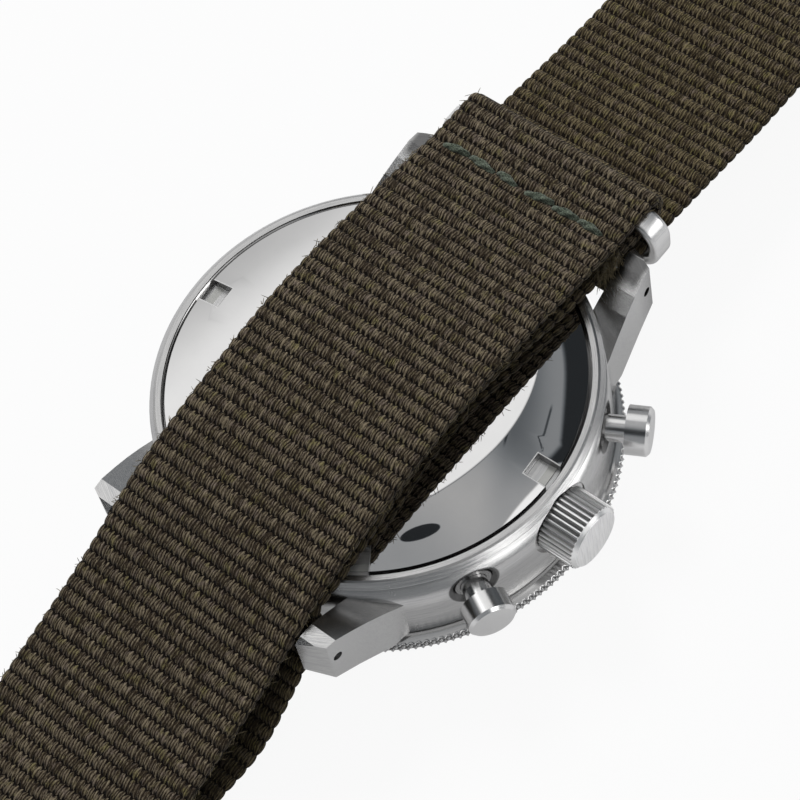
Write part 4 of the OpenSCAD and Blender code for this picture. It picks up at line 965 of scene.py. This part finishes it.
crown_steel = steel("crown_polished", 0.96, lines="z", rough=(0.34, 0.34), depth=0.012,
                    polish=crown_polish, shade=crown_shade, relief=rib_round)
bezel_steel = steel("bezel_satin", 0.68, brushed=0.35, rough=(0.09, 0.26), depth=0.003,
                    shade=knurl_shade)
ring_steel = steel("ring_satin", 0.72, brushed=0.8, lines="y", rough=(0.16, 0.32), depth=0.006)
tongue_steel = steel("tongue_polished", 0.76, brushed=0.2, lines="y", rough=(0.1, 0.3), depth=0.002)
pusher_steel = steel("pusher_polished", 0.76, brushed=0.12, lines="round_x", rough=(0.2, 0.3),
                     depth=0.002)
tube_steel = steel("tube_shaded", 0.3, brushed=0.5, lines="round_x", rough=(0.2, 0.35), depth=0.002)
for piece in loops:
    piece.data.materials.append(ring_steel)
bezel.data.materials.append(bezel_steel)
print("steel on", [piece.name for piece in (*loops, bezel)])

# %% [markdown]
# ## The other finishes
# Inside the watch are gilt brass wheels, nickel bridges with striped decoration, blued springs, a
# moulded holder and rubber rings; under the crystal a matt dial. Flat colours would read as toys in a
# close view, so each gets the grain that it has in a real movement, at its real size.

# %% Plated and matt finishes
def plated(name, dark, pale, stripe=0.0, rough=0.3):
    """Plated metal with a fine grain. With a stripe, in millimetres, it is decorated with bars that
    wide: 0.6 |sin(pi d / stripe)| + 0.4 grain, with d measured across them."""
    made, p = material(name)
    x, y, z = p.place()
    grain = p.noise(p.join(x * 9.0, y * 9.0, z * 9.0), 3.0)
    tone = grain
    if stripe:
        wave = ((x * 0.8 + y * 0.6) * (math.pi / stripe)).maths("SINE")
        tone = abs(wave) * 0.6 + grain * 0.4
    p.surface(Base_Color=p.mix(tone, dark, pale), Metallic=1.0,
              Roughness=rough + (grain - 0.5) * 0.1, Normal=p.bump(tone, 0.004))
    return made


def matt(name, dark, pale, scale, rough, height):
    """Rubber or plastic: a grain of scale waves to a millimetre, which changes the tone a little and
    stands height millimetres proud."""
    made, p = material(name)
    x, y, z = p.place()
    grain = p.noise(p.join(x * scale, y * scale, z * scale), 4.0, 0.6)
    p.surface(Base_Color=p.mix(grain, dark, pale), Roughness=rough + (grain - 0.5) * 0.15,
              Normal=p.bump(grain, height))
    return made


brass = plated("gilt_brass", (0.5, 0.36, 0.15, 1), (0.78, 0.62, 0.33, 1))
nickel = plated("striped_nickel", (0.46, 0.46, 0.47, 1), (0.72, 0.72, 0.73, 1), stripe=1.2)
blue = plated("blued_steel", (0.02, 0.04, 0.14, 1), (0.06, 0.11, 0.32, 1), rough=0.22)
silicone = matt("silicone_ring", (0.3, 0.3, 0.29, 1), (0.42, 0.42, 0.4, 1),
                scale=5.0, rough=0.5, height=0.01)
rubber = matt("sealing_rubber", (0.01, 0.01, 0.01, 1), (0.035, 0.035, 0.035, 1),
              scale=5.0, rough=0.7, height=0.02)
plastic = matt("moulded_holder", (0.5, 0.5, 0.46, 1), (0.68, 0.68, 0.64, 1),
               scale=3.0, rough=0.5, height=0.015)
inner_steel = steel("inner_polished", 0.76, brushed=0.1, lines="y", rough=(0.06, 0.3), depth=0.001)
hand_steel = steel("hand_polished", 0.78, brushed=0.1, lines="x", rough=(0.07, 0.2), depth=0.001)
print("finishes:", [made.name for made in (brass, nickel, blue, silicone, rubber, plastic)])

# %% [markdown]
# ## Dial and crystal
# The dial is printed. An image would need a file and would blur up close, so the minute track is
# worked out: the angle round the dial, counted in minutes, is near a whole number on a tick. The hour
# marks are raised in the solid, and are told from the dial by their height.

# %% Dial and crystal
def dial_material():
    """Matt black with a printed white minute track and pale raised hour marks. A tick is where the
    angle in sixtieths of a turn is within 0.06 of a whole number, from radius 13.6 to 14.5."""
    made, p = material("dial_print")
    x, y, z = p.place()
    r = axis_radius(x, y)
    turn = p.maths("ARCTAN2", y, x) * (60 / (2 * math.pi))
    tick = 1 - abs(turn - turn.maths("ROUND")).step(0.06, 0.09)
    track = tick * r.step(13.55, 13.6) * (1 - r.step(14.5, 14.55)) * (1 - z.step(3.25, 3.3))
    mark = r.step(10.4, 10.5) * (1 - r.step(12.7, 12.8)) * (1 - z.step(3.15, 3.18))
    grain = p.noise(p.join(x * 12.0, y * 12.0, z * 12.0), 3.0)
    paint = p.mix(grain, (0.012, 0.012, 0.013, 1), (0.028, 0.028, 0.03, 1))
    p.surface(Base_Color=p.mix(track + mark, paint, (0.8, 0.8, 0.78, 1)),
              Roughness=0.55 + (grain - 0.5) * 0.2, Normal=p.bump(grain, 0.006))
    return made


def crystal_material():
    """Clear glass with a trace of wiping haze in its gloss."""
    made, p = material("crystal_glass_clear")
    x, y, z = p.place()
    haze = p.noise(p.join(x * 0.4, y * 0.4, z * 0.4), 3.0)
    p.surface(Base_Color=(0.97, 0.98, 0.99, 1), Roughness=0.02 + haze * 0.03, IOR=1.5,
              Transmission_Weight=1.0)
    return made


dial_print, clear_glass = dial_material(), crystal_material()
print(dial_print.name, "and", clear_glass.name)

# %% [markdown]
# ## A finish on every solid
# Each solid names a material slot in the record, and a dictionary gives the finish for each slot. A
# few pieces share a slot but look different on the real watch, so a second dictionary, by piece,
# goes first.

# %% Finishes on the solids
finishes = {
    "black_rubber": rubber, "crystal_glass": clear_glass, "dial_paint": dial_print,
    "holder_plastic": plastic, "plate_brass": brass, "nickel_bridge": nickel, "blue_steel": blue,
    "hand_steel": hand_steel, "steel": fine_steel, "polished_steel": inner_steel,
    "brushed_case": case_steel, "nylon": webbing_long}
own = {
    "caseback": back_steel, "caseback_gasket": silicone, "crown": crown_steel,
    "start_pusher": pusher_steel, "reset_pusher": pusher_steel, "pusher_tubes": tube_steel,
    "crown_tube": tube_steel, "spring_bar_tubes": fine_steel, "buckle_frame": ring_steel,
    "buckle_tongue": tongue_steel, "bezel": bezel_steel}
for part in frame["record"]["subparts"]:
    mesh = nodes[part["node"]].data
    mesh.materials.clear()
    mesh.materials.append(own.get(part["node"], finishes[part["material_slot"]]))
print(len(finishes) + len(own), "finishes on", len(nodes), "nodes")

# %% [markdown]
# The two straps are sheets of cloth of a known cut: the strap's width by the length of its route. A
# drawn shape can stretch cloth without anyone seeing it, so the cut of each is printed.

# %% Sheets
for piece, length, rests in ((short_strap, short_s[-1], [long_strap]),
                             (long_strap, long_s[-1], ["caseback"])):
    length * MM
    [stitches, loose] if piece == short_strap else []
    print(piece.name, "cut", STRAP_W, "by", round(length, 1), "mm")

# %% [markdown]
# ## The studio tent
# Polished steel has no look of its own: it shows what stands round it. A watch is photographed in a
# white tent with darker gaps, and the domed back mirrors both. Real panels could be set up as objects,
# but the world itself can be the tent. Its brightness is a function of direction: soft round windows,
# and on the roof, seen as a flat ceiling with a = x / z and b = y / z, a few curved panels.

# %% Tent helpers
world = bpy.data.worlds.new("studio_tent")
bpy.context.scene.world = world
world.use_nodes = True
sky = Paint(world.node_tree)
direction = sky.node("ShaderNodeTexCoord", out=0)


def toward(azimuth, elevation):
    """The unit vector of a compass angle from +X and a height angle, in degrees."""
    a, e = math.radians(azimuth), math.radians(elevation)
    return (math.cos(e) * math.cos(a), math.cos(e) * math.sin(a), math.sin(e))


def window(azimuth, elevation, inner, outer):
    """1 within inner degrees of a direction, 0 beyond outer degrees, smooth between."""
    near = sky.node("ShaderNodeVectorMath", {"operation": "DOT_PRODUCT"},
                    {0: direction, 1: toward(azimuth, elevation)}, out=1)
    return near.step(math.cos(math.radians(outer)), math.cos(math.radians(inner)))


def between(field, low, high, edge):
    """1 where a field is between low and high, with an S curve edge wide inside each end."""
    return field.step(low, low + edge) * (1 - field.step(high - edge, high))


x, y, z = sky.split(direction)
height = z.maths("MAXIMUM", 0.12)
a, b = x / height, y / height
print("the tent's roof is a plane at height 1 over the watch")

# %% [markdown]
# ## The roof
# The mirror shows the roof as a broad cream panel with a curved edge, a grey field with a dark strip
# along a ledge, two thin dark streaks, a dark oval where the lens looks in, and a thin bright rim. Each
# is a mask from 0 to 1: a parabola for the panel, straight and bent lines for the strip and streaks, a
# turned ellipse for the oval.

# %% Roof
panel = (0.0 - a - (b - 0.355) ** 2.0 * 1.35).step(0.196, 0.201)
panel = panel * (0.54 + a.step(-1.08, -0.8) * 0.46)
ledge = b + (a + 0.283) * 1.47 - (a + 0.283) * (a * -1.0 - 0.113) * 3.5
strip = ledge.step(0.655, 0.668) * (1 - a.step(-0.08, -0.02))
wedge = 1 - abs(b + (a + 0.233) * 1.72 - 0.475).step(0.0, 0.09)
grey = 0.2 + 0.15 * (1 - b.step(0.3, 0.42)) + 0.1 * (1 - abs(b - 0.25).step(0.0, 0.14))
grey = grey + 0.08 * ledge.step(0.56, 0.65) - 0.06 * wedge
grey = grey * (0.06 + 0.94 * b.step(-0.62, -0.3))
line = b + a * 2.1
streak = (1 - abs(line + 0.022).step(0.002, 0.007)) * between(b, 0.37, 0.48, 0.02)
streak = streak + (1 - abs(line - 0.121).step(0.002, 0.007)) * between(b, 0.4, 0.51, 0.02)
OVAL_COS, OVAL_SIN = 0.9135, 0.4067
across, along = (a + 0.1927) * 3000.0, (b - 0.158) * 1200.0
long_way = across * OVAL_COS + along * OVAL_SIN
short_way = along * OVAL_COS - across * OVAL_SIN
oval = 1 - ((long_way / 74.0) ** 2.0 + (short_way / 23.0) ** 2.0).step(0.85, 1.0)
roof = grey * (1 - streak * 0.75) * (1 - strip * 0.9) * (1 - oval * 0.93)
rim_light = a.step(-0.109, -0.106) * b.step(0.2, 0.24) * (1 - b.step(0.41, 0.42))
roof = roof * (1 - panel.step(0.0, 0.1)) + panel + 0.7 * rim_light + 1.2 * window(-150, 64, 9, 16)
print("roof laid down,", len(world.node_tree.nodes), "nodes so far")

# %% [markdown]
# ## Sides, soft light and background
# The tent's sides are dim, with dark gaps and three bright windows that draw highlights on the crown,
# the pushers and the flank. Only glossy rays see the tent. Matt surfaces get one broad soft light,
# and the camera, also through the crystal, sees plain white, which costs no extra light.

# %% World
sides = 0.3 - 0.22 * window(88, 20, 10, 30) - 0.24 * window(-140, 15, 10, 45)
sides = sides + 2.4 * window(-5, 25, 8, 15) + 3.0 * window(31, 24, 9, 17)
sides = sides + 0.5 * window(170, 25, 20, 40)
high = z.step(0.5, 0.68)
tent = (sides.maths("MAXIMUM", 0.04) * (1 - high) + roof * high).maths("MAXIMUM", 0.012)
soft = 0.12 + 0.75 * window(150, 45, 20, 85)
seen, glossy, through = sky.rays()
show = (seen + through).maths("MINIMUM", 1.0)
strength = show + (1 - show) * (glossy * tent + (1 - glossy) * soft)
cool = sky.mix((strength * 2.2).maths("MINIMUM", 1.0), (0.8, 0.9, 1.0, 1), (1, 1, 1, 1))
sky.node_output(sky.node("ShaderNodeBackground", None, {"Color": cool, "Strength": strength}),
                "ShaderNodeOutputWorld")
print("world of", len(world.node_tree.nodes), "nodes")

# %% [markdown]
# ## Lamps
# The world alone would leave the weave flat. A softbox up to the left rakes over the ribs, and a weak
# one from the other side opens the shadows. They are hidden from glossy rays, so the mirrors show the
# tent only.

# %% Lamps
def lamp(name, azimuth, elevation, distance, size, watts):
    """A square soft light that looks at the watch."""
    data = bpy.data.lights.new(name, "AREA")
    data.size, data.energy = size, watts
    made = bpy.data.objects.new(name, data)
    bpy.context.scene.collection.objects.link(made)
    back = np.array(toward(azimuth, elevation))
    side = np.cross((0, 0, 1), back)
    side /= np.linalg.norm(side)
    up = np.cross(back, side)
    spot = back * distance
    rows = [(side[i], up[i], back[i], spot[i]) for i in range(3)]
    made.matrix_world = Matrix([*rows, (0, 0, 0, 1)])
    made.visible_glossy = False
    print(name, watts, "W")


lamp("key_softbox", azimuth=148, elevation=50, distance=0.9, size=0.3, watts=5.4)
lamp("top_softbox", azimuth=-60, elevation=70, distance=0.9, size=0.35, watts=1.0)

# %% [markdown]
# ## Floor
# The watch lies on white. A floor that is lit to white would throw its light back on the steel, so this
# one is a plain pale grey for light, and a glow of strength 1 is mixed in for what the camera and the
# mirrors see. The part that isn't glow still takes the watch's shadow.

# %% Floor
FLOOR_Z, FLOOR_HALF = -0.01, 3000
floor_points = np.array([[-FLOOR_HALF, -FLOOR_HALF, FLOOR_Z], [FLOOR_HALF, -FLOOR_HALF, FLOOR_Z],
                         [FLOOR_HALF, FLOOR_HALF, FLOOR_Z], [-FLOOR_HALF, FLOOR_HALF, FLOOR_Z]])
floor = add_mesh("floor", floor_points, [np.array([[0, 1, 2, 3]])], "case")
floor.parent = None
del floor["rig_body"]
floor_paint, p = material("pale_floor")
plain = p.node("ShaderNodeBsdfDiffuse", None, {"Color": (0.55, 0.55, 0.56, 1)})
glow = p.node("ShaderNodeEmission", None, {"Color": (1, 1, 1, 1), "Strength": 1.0})
seen, glossy, through = p.rays()
share = (seen + through) * 0.93 + glossy * 0.35
p.node_output(p.node("ShaderNodeMixShader", None, {0: share, 1: plain, 2: glow}))
floor.data.materials.append(floor_paint)
print("floor", 2 * FLOOR_HALF, "mm wide")
